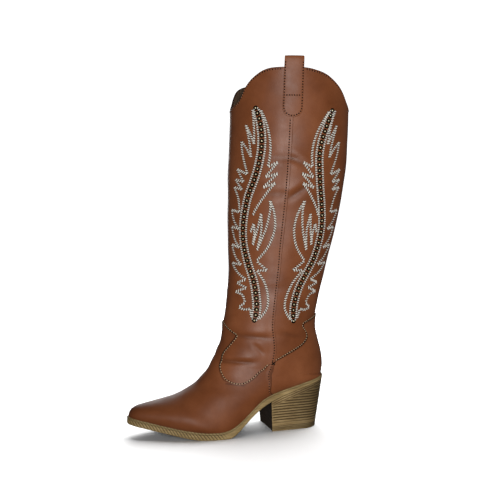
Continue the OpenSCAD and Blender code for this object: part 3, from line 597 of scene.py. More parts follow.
def leather_finish(name, dark, mid, light, rough=(0.36, 0.5), shine=0.36):
    """Smooth tanned leather: cloudy colour, fine pebbled grain and soft creases."""
    f = Finish(name, Specular_IOR_Level=shine)
    clouds = f.noise(26, 5)
    colour = f.ramp(clouds, [(0.32, dark), (0.52, mid), (0.72, light)])
    pores = f.noise(1700, 2)
    speckle = f.ramp(pores, [(0.35, (0.78, 0.76, 0.74)), (0.6, (1, 1, 1))])
    colour = f.blend(colour, speckle, 0.45, "MULTIPLY")
    # Marked places turn dark: painted shade in the folds, at the lap and along the welt, and darker cut
    # edges and toe.
    f.set("Base Color", f.darkened(colour, tuple(0.16 * c for c in dark), 0.85))
    f.set("Roughness", f.between(f.noise(60, 3), 0.3, 0.7, *rough))
    soft = f.raise_by(f.noise(150, 3), 0.22, 0.35)
    f.raise_by(f.cells(1100), 0.07, 0.5, Normal=soft)
    return f.material


def thread_finish(name, dark, light):
    """Twisted thread: fine slanting strands."""
    f = Finish(name, Roughness=0.65, Sheen_Weight=0.25, Sheen_Roughness=0.4,
               Specular_IOR_Level=0.35)
    strands = f.noise(900, 3, where=f.mapped((1, 1, 2.4), (25, 25, 0)))
    f.set("Base Color", f.ramp(strands, [(0.3, dark), (0.65, light)]))
    f.raise_by(strands, 0.12, 0.6)
    return f.material


def metal_finish(name, dark, light, rough=(0.2, 0.4)):
    """Metal with a light patina and fine scratches."""
    f = Finish(name, Metallic=1.0)
    patina = f.noise(420, 4)
    f.set("Base Color", f.ramp(patina, [(0.35, dark), (0.62, light)]))
    f.set("Roughness", f.between(patina, 0.3, 0.7, rough[1], rough[0]))
    f.raise_by(f.noise(2600, 2), 0.02, 0.4)
    return f.material


def fibre_finish(name, dark, light, scale=500, rough=0.85, stretch=(1, 1, 1)):
    """Matt board, cork, foam or cloth: speckled colour and a fine uneven face."""
    f = Finish(name, Roughness=rough, Specular_IOR_Level=0.25)
    fleck = f.noise(scale, 5, where=f.mapped(stretch))
    f.set("Base Color", f.ramp(fleck, [(0.35, dark), (0.65, light)]))
    f.raise_by(fleck, 0.15, 0.5)
    return f.material


def stacked_finish(name, dark, mid, light, tilt=0.0):
    """Stacked leather, edge on: fine level layers with streaks of wood-like grain."""
    f = Finish(name, Specular_IOR_Level=0.22)
    level = f.mapped((1, 1, 16), (0, tilt, 0))
    streaks = f.noise(46, 6, 0.65, level, 0.4)
    colour = f.ramp(streaks, [(0.3, dark), (0.5, mid), (0.68, light)])
    blotch = f.ramp(f.noise(35, 3), [(0.35, (0.72, 0.70, 0.66)), (0.65, (1, 1, 1))])
    colour = f.blend(colour, blotch, 0.8, "MULTIPLY")
    # Marked places turn dark: painted shade in the grooves and tool marks, and towards the heel's back.
    f.set("Base Color", f.darkened(colour, tuple(0.25 * c for c in dark)))
    f.set("Roughness", f.between(streaks, 0.3, 0.7, 0.62, 0.45))
    f.raise_by(streaks, 0.25, 0.6)
    return f.material


FINISH = {
    "leather": leather_finish("boot_leather", (0.225, 0.066, 0.021), (0.285, 0.088, 0.030),
                              (0.345, 0.114, 0.042)),
    # A darker, less shiny copy of the leather: painted shade on the vamp, and a duller finish.
    "vamp": leather_finish("vamp_leather", (0.208, 0.060, 0.0185), (0.262, 0.080, 0.0265),
                           (0.318, 0.104, 0.0375), (0.42, 0.56), 0.27),
    # A lighter copy of the leather: painted light on the heel counter.
    "counter": leather_finish("counter_leather", (0.26, 0.078, 0.025), (0.325, 0.104, 0.037),
                              (0.39, 0.134, 0.052)),
    "edge": leather_finish("burnished_leather_edge", (0.035, 0.014, 0.008), (0.05, 0.02, 0.01),
                           (0.07, 0.03, 0.016), (0.45, 0.6)),
    "lining": fibre_finish("lining_cloth", (0.06, 0.036, 0.021), (0.135, 0.086, 0.052), 380,
                           0.9, (1, 1, 0.2)),
    "sock": leather_finish("sock_leather", (0.30, 0.19, 0.10), (0.36, 0.23, 0.12),
                           (0.42, 0.28, 0.15), (0.55, 0.7)),
    "foam": fibre_finish("latex_foam", (0.55, 0.47, 0.30), (0.68, 0.60, 0.40), 900),
    "board": fibre_finish("fibre_board", (0.26, 0.17, 0.09), (0.42, 0.30, 0.17), 600),
    "cork": fibre_finish("cork", (0.20, 0.11, 0.05), (0.48, 0.30, 0.15), 350),
    "stiffener": fibre_finish("stiffener_sheet", (0.50, 0.42, 0.30), (0.62, 0.54, 0.40), 700),
    "interlining": fibre_finish("interlining_cloth", (0.55, 0.50, 0.40), (0.72, 0.67, 0.55), 1100),
    "steel": metal_finish("steel", (0.42, 0.42, 0.43), (0.62, 0.62, 0.63)),
    "ring": metal_finish("dark_brass", (0.006, 0.005, 0.004), (0.022, 0.017, 0.011), (0.35, 0.5)),
    "dome": metal_finish("pale_brass", (0.78, 0.64, 0.36), (1.0, 0.90, 0.62), (0.4, 0.52)),
    "ivory": thread_finish("ivory_thread", (0.84, 0.78, 0.66), (0.97, 0.94, 0.87)),
    "tan": thread_finish("tan_thread", (0.50, 0.33, 0.18), (0.74, 0.54, 0.33)),
    "brown": thread_finish("brown_thread", (0.28, 0.088, 0.032), (0.38, 0.13, 0.05)),
    # Near-black painted shade for needle holes and the beds under stitches; the bar tack is sewn in it
    # too.
    "stitch_shade": fibre_finish("stitch_shade_and_dark_thread", (0.006, 0.003, 0.002), (0.016, 0.007, 0.004), 900),
    "welt": stacked_finish("welt_edge", (0.26, 0.18, 0.075), (0.38, 0.275, 0.125),
                           (0.50, 0.38, 0.19)),
    "outsole": stacked_finish("outsole_edge", (0.32, 0.215, 0.088), (0.46, 0.32, 0.14),
                              (0.60, 0.44, 0.21)),
    "heel": stacked_finish("stacked_heel", (0.25, 0.16, 0.066), (0.43, 0.29, 0.128),
                           (0.60, 0.43, 0.21)),
    "breast": stacked_finish("heel_breast", (0.030, 0.016, 0.008), (0.046, 0.026, 0.013),
                             (0.066, 0.038, 0.019)),
    "lift": stacked_finish("top_lift", (0.15, 0.10, 0.04), (0.28, 0.19, 0.083),
                           (0.42, 0.31, 0.148), 9),
    "tread": fibre_finish("tread_rubber", (0.03, 0.02, 0.012), (0.06, 0.04, 0.024), 260, 0.7),
}


# ---- the upper ----
SEAM_ROW = 0.014     # the seam's stitches lie this share of the half girth before its edge
LAP_SHARE = 0.05     # width of the lap at the side seam, as a share of the half girth
LAP_OUT, LAP_IN = 0.55, 0.15     # its skived faces, outside and inside the upper's own face


def panel_grid(front, rows, cols, drop, depth_of):
    """Grid of a shaft panel, from a drop below the topline to its hem and round from seam to seam,
    with dark marks along the topline, painted shade along the side seam and in its folds."""
    c = np.linspace(-1, 1, cols + 1)[None, :]
    r = np.linspace(0, 1, rows + 1)[:, None]
    far = 0 if front else 1
    side = side_of(c) * (1 if front else -1)
    top = shaft_row(rim_z(mix(far, SEAM_SHARE, np.abs(c)), side) - drop)
    hem = line(FRONT_HEM if front else BACK_HEM, mix(far, SEAM_SHARE - SEAM_STEP, np.abs(c)))
    t = mix(top, hem, r)
    v, side = mix(far, seam_at(t), np.abs(c)), np.broadcast_to(side, t.shape)
    below_rim = (t - top) * SHAFT_PITCH
    # Dark along the topline, and painted shade along the side seam where the lap steps down.
    marks = 0.7 * hill(below_rim / 0.8) + 0.12 * hill((v - seam_at(t)) / 0.003)
    return skin(t, v, side, depth_of(t, v)), np.minimum(marks + painted_fold_shade(t, v, side), 1)


def shaft_panels():
    """The front panel is skived thin and laps over the back one along each side seam."""
    def lap(t, v):
        return ease(1 - (seam_at(t) - v) / LAP_SHARE)

    for front, name, rows in ((True, "front", 190), (False, "back", 170)):
        share = lap if front else lambda t, v: 0 * v
        grid = (front, rows, 170, 0)
        outer, marks = panel_grid(*grid, lambda t, v: LAP_OUT * share(t, v))
        inner, _ = panel_grid(*grid, lambda t, v: LAYER_2 + (LEATHER - LAP_IN) * share(t, v))
        shape = Shape()
        sheet(shape, outer, inner, marks=marks)
        shape.make(name + "_shaft_leather", LEATHER_FINISH, ["shaft_" + name],
                   bevel=0.35)


def shaft_linings():
    """Ribbed lining cloth, one piece behind each shaft panel."""
    ribs, steps, rib_height = 72, 4, 0.22
    cols = 2 * ribs * steps
    rib = rib_height * np.cos(2 * np.pi * np.arange(cols + 1) / steps)[None, :]
    for front, name in ((True, "front"), (False, "back")):
        grid = (front, 46, cols, 0.3)
        outer, _ = panel_grid(*grid, lambda t, v: LAYER_2 - GAP + 0 * v)
        inner, _ = panel_grid(*grid, lambda t, v: LAYER_3 + 0.2 - rib + 0 * v)
        shape = Shape()
        sheet(shape, outer, inner)
        shape.make(name + "_lining_cloth", ("lining", "edge"),
                   ["shaft_lining_" + name])


TONGUE_TOP, FLANK_TOP, SCOOP_ROW = 8.95, 12.3, 15.2
TONGUE_COLS, HALF_COLS = 5, 13


def lower_seam():
    """The counter's front edge, from the side seam down to the welt: section and share."""
    r = np.linspace(0, 1, 120)
    return counter_spot(np.ones_like(r), r)


def seam_end(t):
    """Share of the half girth where the vamp ends: just past the lower seam, then the welt."""
    ts, vs = lower_seam()
    past = 0.010 * ease((t - ts[0]) / 0.6)
    return np.where(t < ts[-1], np.minimum(np.interp(t, ts, vs) + past, 1), 1.0)


def vamp_spot(t, n):
    """Where column n (0 at the centre line, HALF_COLS at the lower edge) meets row t."""
    f = n / TONGUE_COLS
    tilt = np.maximum(0, 1.1 * (1 - (t - TONGUE_TOP) / 4))
    tt = np.where((t < SCOOP_ROW) & (n <= TONGUE_COLS), t + tilt * f, t)
    end = seam_end(t)
    rest = (n - TONGUE_COLS - 1) / (HALF_COLS - TONGUE_COLS - 1)
    tongue, flank = curve(TONGUE_EDGE, tt) * np.minimum(f, 1), curve(FLANK_EDGE, t)
    scoop = mix(tongue, flank, np.clip(n - TONGUE_COLS, 0, 1))
    v = np.where(n <= TONGUE_COLS + 1, scoop, mix(flank, end, rest))
    return tt, mix(v, end * n / HALF_COLS, ease((t - SCOOP_ROW) / 3))


def vamp():
    """The vamp with its tongue, cut in a scoop on each side."""
    fine = 6
    t = np.concatenate([np.linspace(TONGUE_TOP, FLANK_TOP, 28)[:-1],
                        np.linspace(FLANK_TOP, SCOOP_ROW, 26)[:-1],
                        np.linspace(SCOOP_ROW, 24.9, 96)])
    n = np.arange(-HALF_COLS * fine, HALF_COLS * fine + 1) / fine
    rows, v = vamp_spot(t[:, None], np.abs(n)[None, :])
    side = np.broadcast_to(side_of(n)[None, :], v.shape)
    middle = np.abs(n[:-1] + n[1:])[None, :] / 2
    top = t[:-1, None]
    has = ((middle < TONGUE_COLS) | (top >= SCOOP_ROW - 1e-6)
           | ((middle > TONGUE_COLS + 1) & (top >= FLANK_TOP - 1e-6)))
    ts, vs = lower_seam()
    over = ease((v - np.interp(rows, ts, vs) + 0.026) / 0.026) * (rows > ts[0]) * (rows < ts[-1])
    shape = Shape()
    sheet(shape, skin(rows, v, side, GAP + LEATHER + 0.75 * over),
          skin(rows, v, side, GAP + 1.45 * over), has,
          np.minimum(vamp_marks(rows, np.abs(n)[None, :], over) + painted_fold_shade(rows, v, side), 1))
    shape.make("vamp_leather", ("vamp", "edge"), ["vamp"], bevel=0.4)


def vamp_marks(t, n, over):
    """Dark along the vamp's cut edges and the lower seam, painted shade along the welt, and darker over
    the toe.
    """
    on_flank = (n > TONGUE_COLS + 0.5) & (t > FLANK_TOP - 0.2)
    from_edge = np.where(on_flank, n - TONGUE_COLS - 1, TONGUE_COLS - n)
    upper_part = np.where(t < SCOOP_ROW - 0.02, 1.0, ease(1 - (t - SCOOP_ROW) / 0.12)
                          * (np.abs(n - TONGUE_COLS - 0.5) < 1.2))
    from_edge = np.where(t < SCOOP_ROW, np.abs(from_edge), 0)
    # Painted shade in a thin line along the welt, and darker towards the toe.
    welt_shade_and_dark_toe = 0.8 * hill((HALF_COLS - n) / 0.2) + 0.3 * ease((t - 16) / 8)
    return np.clip(0.7 * upper_part * hill(from_edge / 0.2) + 0.4 * (over > 0.95) + welt_shade_and_dark_toe, 0, 1)


def vamp_outline():
    """The vamp's cut edge from the tongue's tip round the scoop to the side seam."""
    f = np.linspace(0, 1, 60)
    tip = np.stack([TONGUE_TOP + 1.1 * f, 0.194 * f])
    down = mix(TONGUE_TOP + 1.1, SCOOP_ROW, f[1:])
    tongue = np.stack([down, curve(TONGUE_EDGE, down)])
    up = mix(SCOOP_ROW, FLANK_TOP, f)
    flank = np.stack([up, curve(FLANK_EDGE, up)])
    return np.hstack([tip, tongue, flank])


def counter_spot(f, r):
    """Heel counter at share f from the back centre to the side seam, share r down."""
    front_row = 16.15
    top = along(COUNTER_EDGE, f)
    corner = np.array(COUNTER_EDGE[-1])
    low_corner = np.array([front_row, 1.0])
    seam_way = [corner, [mix(corner[0], front_row, 0.3), corner[1] - 0.008],
                [mix(corner[0], front_row, 0.62), mix(corner[1], 1, 0.12)],
                [mix(corner[0], front_row, 0.88), mix(corner[1], 1, 0.44)], low_corner]
    low = np.stack([mix(HEEL_ROW, front_row, f**1.5), np.ones_like(f)], -1)
    bow = along(seam_way, r) - mix(corner, low_corner, r[..., None])
    p = mix(top, low, r[..., None]) + (f**3)[..., None] * bow
    return p[..., 0], p[..., 1]


def heel_counter():
    c = np.linspace(-1, 1, 171)[None, :]
    r = np.linspace(0, 1, 61)[:, None]
    f, r = np.broadcast_arrays(np.abs(c), r)
    t, v = counter_spot(f, r)
    side = np.broadcast_to(np.where(c < 0, 1, -1), t.shape)
    shape = Shape()
    # Dark along the counter's top edge, and painted shade in a line along the welt, except round the
    # back.
    edges = 0.7 * hill(r / 0.012) + 0.8 * hill((1 - r) / 0.02) * ease((f - 0.2) / 0.25)
    sheet(shape, skin(t, v, side, GAP + LEATHER), skin(t, v, side, GAP), marks=edges)
    shape.make("counter_leather", ("counter", "edge"), ["heel_counter"],
               bevel=0.4)


# ---- pull straps ----
STRAP_SHARE = SEAM_SHARE - 0.003
GIRTH_SHARE = 0.0045     # share of the half girth in one millimetre at the topline
STRAP_END = 371
STRAP_IN = LAYER_3 - 0.75
STRAP_WAY = [[0.75, STRAP_END], [0.75, 377], [0.75, 383], [0.75, 400], [0.75, 424], [0.95, 434],
    [0.5, STRAP_TOP - 1.8], [mix(0.75, STRAP_IN, 0.5), STRAP_TOP - 0.65],
    [STRAP_IN + 0.3, STRAP_TOP - 1.8], [STRAP_IN - 0.2, 434], [STRAP_IN, 424], [STRAP_IN, 400],
    [STRAP_IN, 383], [STRAP_IN, 378]]


def strap_skin(depth, z, c, side):
    """Point of the strap's middle face, c millimetres from its centre line."""
    return skin(shaft_row(z), STRAP_SHARE + c * GIRTH_SHARE, side, depth)


def pull_strap(side, word):
    """A strip folded over the topline, with a rounded end outside."""
    f = np.linspace(0, 1, 121)
    q = along(STRAP_WAY, f)
    way = unit(np.gradient(q, axis=0))
    face = np.stack([way[:, 1], -way[:, 0]], -1)
    half = STRAP_W / 2
    round_half = half * round_end((q[:, 1] - STRAP_END + 0.6) / half)
    round_half[f > 0.5] = half
    c = np.linspace(-1, 1, 25)[None, :]
    shape = Shape()
    grids = []
    for lift in (0.65, -0.65):
        crown = lift * (1 - 0.35 * np.abs(c) ** 6)
        depth = q[:, :1] + crown * face[:, :1]
        z = q[:, 1:] + crown * face[:, 1:]
        grids.append(strap_skin(depth, z, c * round_half[:, None], side))
    sheet(shape, *grids)
    shape.make("pull_strap_leather_" + word, LEATHER_FINISH,
               ["pull_strap_" + word], bevel=0.3)


def strap_stitches(side, word):
    """Rows down both edges and round the end, and one row across."""
    shape = Shape()
    inset, top, across_z = 1.3, STRAP_TOP - 5, 395.6
    half = STRAP_W / 2 - inset
    centre_z = STRAP_END + inset + half
    turn = np.linspace(0, np.pi, 60)
    c = np.concatenate([np.full(80, -half), -half * np.cos(turn), np.full(80, half)])
    z = np.concatenate([np.linspace(top, centre_z, 80), centre_z - half * np.sin(turn),
                        np.linspace(centre_z, top, 80)])
    lines = [(c, z), (np.linspace(-half + 0.3, half - 0.3, 40), np.full(40, across_z))]
    for cs, zs in lines:
        add_seam(shape, shaft_row(zs), STRAP_SHARE + cs * GIRTH_SHARE, side, 0.75 + 0.65, BROWN, 1.7)
    shape.make("strap_stitching_" + word, SEAM_FINISH)


# ---- seams ----
def seams(side, word):
    """All the machine stitching of one side of the boot, on the leather that it holds."""
    shape = Shape()
    on_top = GAP + LEATHER
    v = np.linspace(0, 1, 400)
    keep = np.abs(v - STRAP_SHARE) > (STRAP_W / 2 + 0.4) * GIRTH_SHARE
    for part in (v[keep & (v < STRAP_SHARE)], v[keep & (v > STRAP_SHARE)]):
        add_seam(shape, shaft_row(rim_z(part, side) - 2.4), part, side, 0.05, BROWN, 1.6)
    t = np.linspace(shaft_row(STRAP_END - 1), 12.2, 300)
    add_seam(shape, t, seam_at(t) - SEAM_ROW, side, 0.5, BROWN, 1.6)
    t, v = vamp_outline()
    add_seam(shape, *shifted(t, v, side, -side * 1.5), side, on_top, trim=(0, 1.5))
    t, v = along(COUNTER_EDGE, np.linspace(0, 1, 200)).T
    add_seam(shape, *shifted(t, v, side, side * 1.5), side, on_top, trim=(0, 2))
    t, v = lower_seam()
    add_seam(shape, *shifted(t, v, side, side * 1.6), side, on_top + 0.7, BROWN, 1.4, (3, 3))
    bar_tack(shape, side, on_top + 0.7)
    shape.make("topstitching_" + word, SEAM_FINISH)


def bar_tack(shape, side, depth):
    """A small cross of stitches where the vamp, the counter and the side seam meet."""
    t, v = np.full(2, COUNTER_EDGE[-1][0] + 0.12), np.full(2, COUNTER_EDGE[-1][1] - 0.004)
    centre, normal = skin(t, v, side, depth), outward_of(t, v, side)
    up = unit(skin(t - 0.1, v, side, depth) - centre)
    across = np.cross(normal, up)
    turn = np.radians([[38.0], [-38.0]])
    # The cross is sewn in the near-black second finish, as dark thread.
    add_grains(shape, centre, up * np.sin(turn) + across * np.cos(turn), normal, 6.0, 1.3, 0.8, 1)


# ---- flame stitching and studs ----
def quarter_line(points, front, count):
    """Section and share along a smooth line of [distance from the seam, height]."""
    q = along(points, np.linspace(0, 1, count))
    t = shaft_row(q[:, 1])
    return t, seam_at(t) + (-1 if front else 1) * q[:, 0] / 100


def rope(shape, chance, t, v, side, turn):
    """A satin-stitched line: short slanted stitches lying close together."""
    pitch, lean, stitch, width = 2.9, 58, 3.5, 1.6
    centre, way, normal = stations(t, v, side, 0.42, pitch, (0.5, 0.5))
    left = np.cross(normal, way)
    slant = np.radians([turn * (lean + chance.uniform(-5, 5)) for _ in centre])[:, None]
    lie = unit(way * np.cos(slant) + left * np.sin(slant))
    size = np.array([stitch * chance.uniform(0.93, 1.07) for _ in centre])
    add_grains(shape, centre, lie, normal, size, width, 1.2)
    # A near-black bed under each stitch: painted shade round it.
    add_grains(shape, centre - 0.3 * normal, lie, normal, size + 0.5, width + 1, 0.5, 1, SHADE_SPOT)


def dotted(shape, t, v, side):
    """A row of single stitches across the line."""
    pitch, stitch, width = 2.6, 2.6, 1.7
    centre, way, normal = stations(t, v, side, 0.35, pitch)
    add_grains(shape, centre, np.cross(normal, way), normal, stitch, width, 1.1)
    # A near-black bed under each stitch: painted shade round it.
    add_grains(shape, centre - 0.25 * normal, way, normal, 2.9, 3.0, 0.5, 1, SHADE_SPOT)


def flames(side, word):
    """Satin-stitched strokes, and a dotted line on each side of the studs."""
    chance = random.Random(7 + side)
    shape = Shape()
    apart_most, points = 4.3, 300
    for front in (True, False):
        hand = 1 if front else -1
        for stroke in (FRONT_TIP if front else BACK_TIP) + STROKES:
            t, v = quarter_line(stroke, front, 20 * len(stroke))
            rope(shape, chance, t, v, side, -side * hand)
        t, v = quarter_line(SPINE_FRONT if front else SPINE_BACK, front, points)
        f = np.linspace(0, 1, points)
        apart = apart_most * np.minimum(1, 0.3 + np.minimum(f * 16, (1 - f) * 14))
        for way in (-1, 1):
            dotted(shape, *shifted(t, v, side, way * apart), side)
    shape.make("flame_thread_" + word, ("ivory", "stitch_shade"),
               ["flame_stitching_" + word])


def stud_shape(shape, place, normal):
    """One stud: a dark ring pressed round a pale dome."""
    r, sides, top, foot_z = STUD_D / 2 + 0.15, 16, 1.55, -0.1
    # Outline as a share of the radius and a height; the dome starts at point dome_from.
    profile = [(1, foot_z), (1, 0.3), (0.93, 0.66), (0.76, 0.88), (0.58, 0.8), (0.46, 0.6),
               (0.42, 0.8), (0.34, 1.2), (0.2, 1.46)]
    dome_from = 5
    e1 = unit(np.cross((0.0, 0.0, 1.0), normal))
    e2 = np.cross(normal, e1)
    a = np.linspace(0, 2 * np.pi, sides, endpoint=False)[None, :, None]
    radii = np.array([p[0] * r for p in profile])[:, None, None]
    heights = np.array([p[1] for p in profile])[:, None, None]
    rings = place + radii * (np.cos(a) * e1 + np.sin(a) * e2) + heights * normal
    points = np.vstack([rings.reshape(-1, 3), [place + top * normal], [place + foot_z * normal]])
    tip, foot = len(points) - 2, len(points) - 1
    edges = [(k, (k + 1) % sides) for k in range(sides)]
    faces = between_rings(sides, len(profile))
    ring_faces = faces[:dome_from * sides] + [(n, k, foot) for k, n in edges]
    dome_faces = faces[dome_from * sides:] + [(tip - sides + k, tip - sides + n, tip) for k, n in edges]
    shape.add(points, ring_faces, dome_faces)


def studs(side, word, half):
    """A row of studs down the middle of one quarter's stitching."""
    front = half == "front"
    t, v = quarter_line(SPINE_FRONT if front else SPINE_BACK, front, 400)
    length = run_of(skin(t, v, side))
    count = int(length[-1] // STUD_PITCH)
    s = length[-1] * np.arange(count + 1) / count
    ts, vs = np.interp(s, length, t), np.interp(s, length, v)
    shape = Shape()
    for place, normal in zip(skin(ts, vs, side), outward_of(ts, vs, side)):
        stud_shape(shape, place, normal)
    shape.make(f"stud_row_{word}_{half}", ("ring", "dome"),
               [f"studs_{word}_{half}"], sharp=60)


# ---- the sole ----
def outline_place(f, grow):
    """Round the foot's outline: f is 0 at the toe, 1 at the heel by the lateral side, 2 at the
    toe again."""
    share = (1 - np.cos(np.pi * np.where(f < 1, f, 2 - f))) / 2
    x = mix(TOE_X - grow, HEEL_X + grow, share)
    side = np.where(f < 1, -1, 1)
    return x, side * foot_half(x, grow, side)


def even_outline(grow, pitch):
    """Evenly spaced shares round the outline, and the length along it up to each."""
    f = np.linspace(0, 2, 4001)
    length = run_of(np.stack(outline_place(f, grow), -1))
    count = int(length[-1] / pitch)
    s = length[-1] * np.arange(count) / count
    return np.interp(s, length, f), s


EDGE_STEP = 0.55     # spacing of the points round the welt and the outsole


def hatch(s, x, z):
    """Wave of the slanting tool marks round the forepart's edge, s millimetres round it."""
    ends_at, slope, pitch = -22, 0.8, 4.0
    return ease((ends_at - x) / 16) * np.cos(2 * np.pi * (s + slope * (z - tread(x))) / pitch)


def welt():
    """Strip of welting with a rounded, finely notched lip."""
    f, s = even_outline(WELT_OUT, EDGE_STEP)
    lip = [(-CAVITY, -WELT_T), (-CAVITY, 0), (WELT_OUT - 1.4, 0), (WELT_OUT - 0.7, 0.0),
           (WELT_OUT - 0.25, -0.25), (WELT_OUT - 0.02, -0.75), (WELT_OUT, -1.25),
           (WELT_OUT - 0.15, -1.75), (WELT_OUT - 0.7, -WELT_T)]
    shape = Shape()
    rings, dark = [], []
    for grow, dz in lip:
        x, y = outline_place(f, grow)
        wave = hatch(s, x, sole_top(x) + dz) * (grow > 0)
        # Painted shade in the troughs of the tool marks.
        dark.append(0.65 * np.clip(-wave, 0, 1) * (dz < -0.2))
        rings.append(np.stack([x, y, sole_top(x) + dz + 0.14 * wave * (dz > -1.5)], -1) - ORIGIN)
    faces = between_rings(len(f), len(lip), closed=True)
    shape.add(np.vstack(rings), faces, marks=np.concatenate(dark))
    shape.make("welt_strip", ("welt",), ["welt"])


def outsole():
    """Outsole with slanting tool marks round the edge of its forepart."""
    grow, levels = WELT_OUT - 0.3, 19
    f, s = even_outline(grow, EDGE_STEP)
    x, y = outline_place(f, grow)
    normal = outline_normal(f, grow)
    high, low = sole_top(x) - WELT_T - GAP, tread(x)
    rings, dark = [], []
    for level in np.linspace(0, 1, levels):
        z = mix(high, low, level)
        rounded = 0.9 * (np.clip((level - 0.8) / 0.2, 0, 1) ** 2)
        groove = 0.45 * hill((high - z) / 0.5)
        wave = hatch(s, x, z) * ease((1 - level) * 4)
        out = 0.28 * wave - groove - rounded
        # Painted shade in the troughs of the tool marks and in the groove under the welt.
        dark.append(0.85 * np.clip(-1.3 * wave, 0, 1) + groove)
        rings.append(np.stack([x + normal[:, 0] * out, y + normal[:, 1] * out, z], -1) - ORIGIN)
    shape = Shape()
    sides = between_rings(len(f), levels) + strip_cap(f, 0)
    shape.add(np.vstack(rings), sides, strip_cap(f, (levels - 1) * len(f)),
              marks=np.minimum(np.concatenate(dark), 1))
    shape.make("outsole_leather", ("outsole", "tread"), ["outsole"])


def outline_normal(f, grow):
    """Level direction out of the foot's outline."""
    x0, y0 = outline_place((f - 0.002) % 2, grow)
    x1, y1 = outline_place((f + 0.002) % 2, grow)
    return unit(np.stack([y0 - y1, x1 - x0], -1)) * -1


def strip_cap(f, base):
    """Faces that close a ring of outline points, running from the toe to the heel."""
    n = len(f)
    half = int(np.searchsorted(f, 1.0))
    faces = []
    a, b = 0, n
    while b - a > 2 and a < half:
        step = (base + a, base + a + 1, base + (b - 1) % n, base + b % n)
        faces.append(tuple(dict.fromkeys(step)))
        a, b = a + 1, b - 1
    if b - a == 2:
        faces.append((base + a, base + a + 1, base + b % n))
    return faces


# ---- the heel ----
def heel_outline(w, g):
    """Point of the heel's outline: w from -1 (lateral front edge) round the back to 1, at share g
    of the heel's height."""
    side = side_of(w)
    q = np.sin(np.pi / 2 * (1 - np.abs(w)))
    xb, xt = mix(BREAST[0], HEEL_BACK, q), mix(BREAST[1], HEEL_X + WELT_OUT - 0.4, q)
    foot_y = side * (HEEL_HALF - 0.04 * (xb - BREAST[0])) * round_end((HEEL_BACK - xb) / 20)
    top_y = side * foot_half(xt, WELT_OUT - 0.5, side)
    return mix(xb, xt, g), mix(foot_y, top_y, g)


def heel_stack(name, z_low, z_high, node, finish, groove, rows):
    """Part of the heel between two heights; z_high is None where it meets the outsole."""
    side_cols, breast_cols = 151, 9
    w = np.linspace(-1, 1, side_cols)
    q = np.sin(np.pi / 2 * (1 - np.abs(w)))
    ceiling = tread(mix(BREAST[1], HEEL_X + WELT_OUT - 0.4, q)) - GAP
    top = np.minimum(ceiling, z_high) if z_high else ceiling
    rings, marks = [], []
    for r in np.linspace(0, 1, rows):
        z = mix(z_low, top, r)
        x, y = heel_outline(w, z / ceiling)
        tangent = np.stack([np.gradient(x), np.gradient(y)], -1)
        tangent[side_cols // 2] = (0, 1)
        normal = unit(np.stack([tangent[:, 1], -tangent[:, 0]], -1))
        cut = groove(z, ceiling) * ease((1 - np.abs(w)) * 40)
        x, y = x - normal[:, 0] * cut, y - normal[:, 1] * cut
        # Painted shade: dark in the grooves, by their depth, and towards the heel's back.
        painted_back_shade = 0.58 * ease((x - 44) / 56)
        marks.append(np.concatenate([np.minimum(cut / 0.38 + painted_back_shade, 1), np.zeros(breast_cols)]))
        ring = np.stack([x, y, z], -1)
        across = np.linspace(0, 1, breast_cols + 2)[1:-1, None]
        breast = mix(ring[-1], ring[0], across)
        breast[:, 0] += 0.9 * np.sin(np.pi * across[:, 0])
        rings.append(np.vstack([ring, breast]) - ORIGIN)
    n = side_cols + breast_cols
    shape = Shape()
    shape.add(np.vstack(rings), between_rings(n, rows), marks=np.concatenate(marks))
    shape.finish = [0 if i < side_cols - 1 else 1 for _ in range(rows - 1) for i in range(n)]
    for base in (0, (rows - 1) * n):
        first = [base, base + 1, base + side_cols - 2] + [base + k for k in range(side_cols - 1, n)]
        shape.faces.append(tuple(first))
        for k in range(1, side_cols // 2):
            face = (base + k, base + k + 1, base + side_cols - 2 - k, base + side_cols - 1 - k)
            shape.faces.append(tuple(dict.fromkeys(face)))
        shape.finish += [2 if base == 0 else 1] * (len(shape.faces) - len(shape.finish))
    shape.make(name, (finish, "breast", "tread"), [node])


def layer_lines(z, ceiling):
    """Depth of the grooves between the heel's lifts, at heights z under a sloping ceiling: fainter
    below deep_from, and slanting with the ceiling just under it."""
    pitch, deep_from, deepest = 3.25, 12, 0.5
    phase = (z - deep_from - 2) / pitch
    level = hill((phase - np.round(phase)) * pitch / 0.62)
    level = level * (0.45 + 0.55 * ease(z - deep_from)) * ease(z - LIFT_T - 1)
    under = ceiling - z
    slanted = sum(0.6 * hill((under - d) / 0.5) for d in (2.6, 5.4))
    return deepest * np.maximum(level * ease((under - 6) / 2), slanted)


def lift_lines(z, _ceiling):
    """Depth of the joint above the top lift and of the fine lines round it."""
    phase = 3 * z / LIFT_T
    fine = hill((phase - np.round(phase)) / 0.16)
    return np.maximum(0.3 * hill((z - LIFT_T) / 0.5), 0.13 * fine * ease(z - 1))


def heel():
    heel_stack("heel_stack", LIFT_T + GAP, None, "heel_block", "heel",
               layer_lines, 260)
    heel_stack("heel_top_lift", 0, LIFT_T, "top_lift", "lift", lift_lines, 30)


# ---- inside the boot ----
def board_top(x):
    """Height of the insole board's upper face."""
    return sole_top(x) + BOARD_T + 3 * GAP


def pad_lift(x):
    """Thickness of the heel pad, with its wedge in front."""
    return 3 * ease((x - 35) / 15)


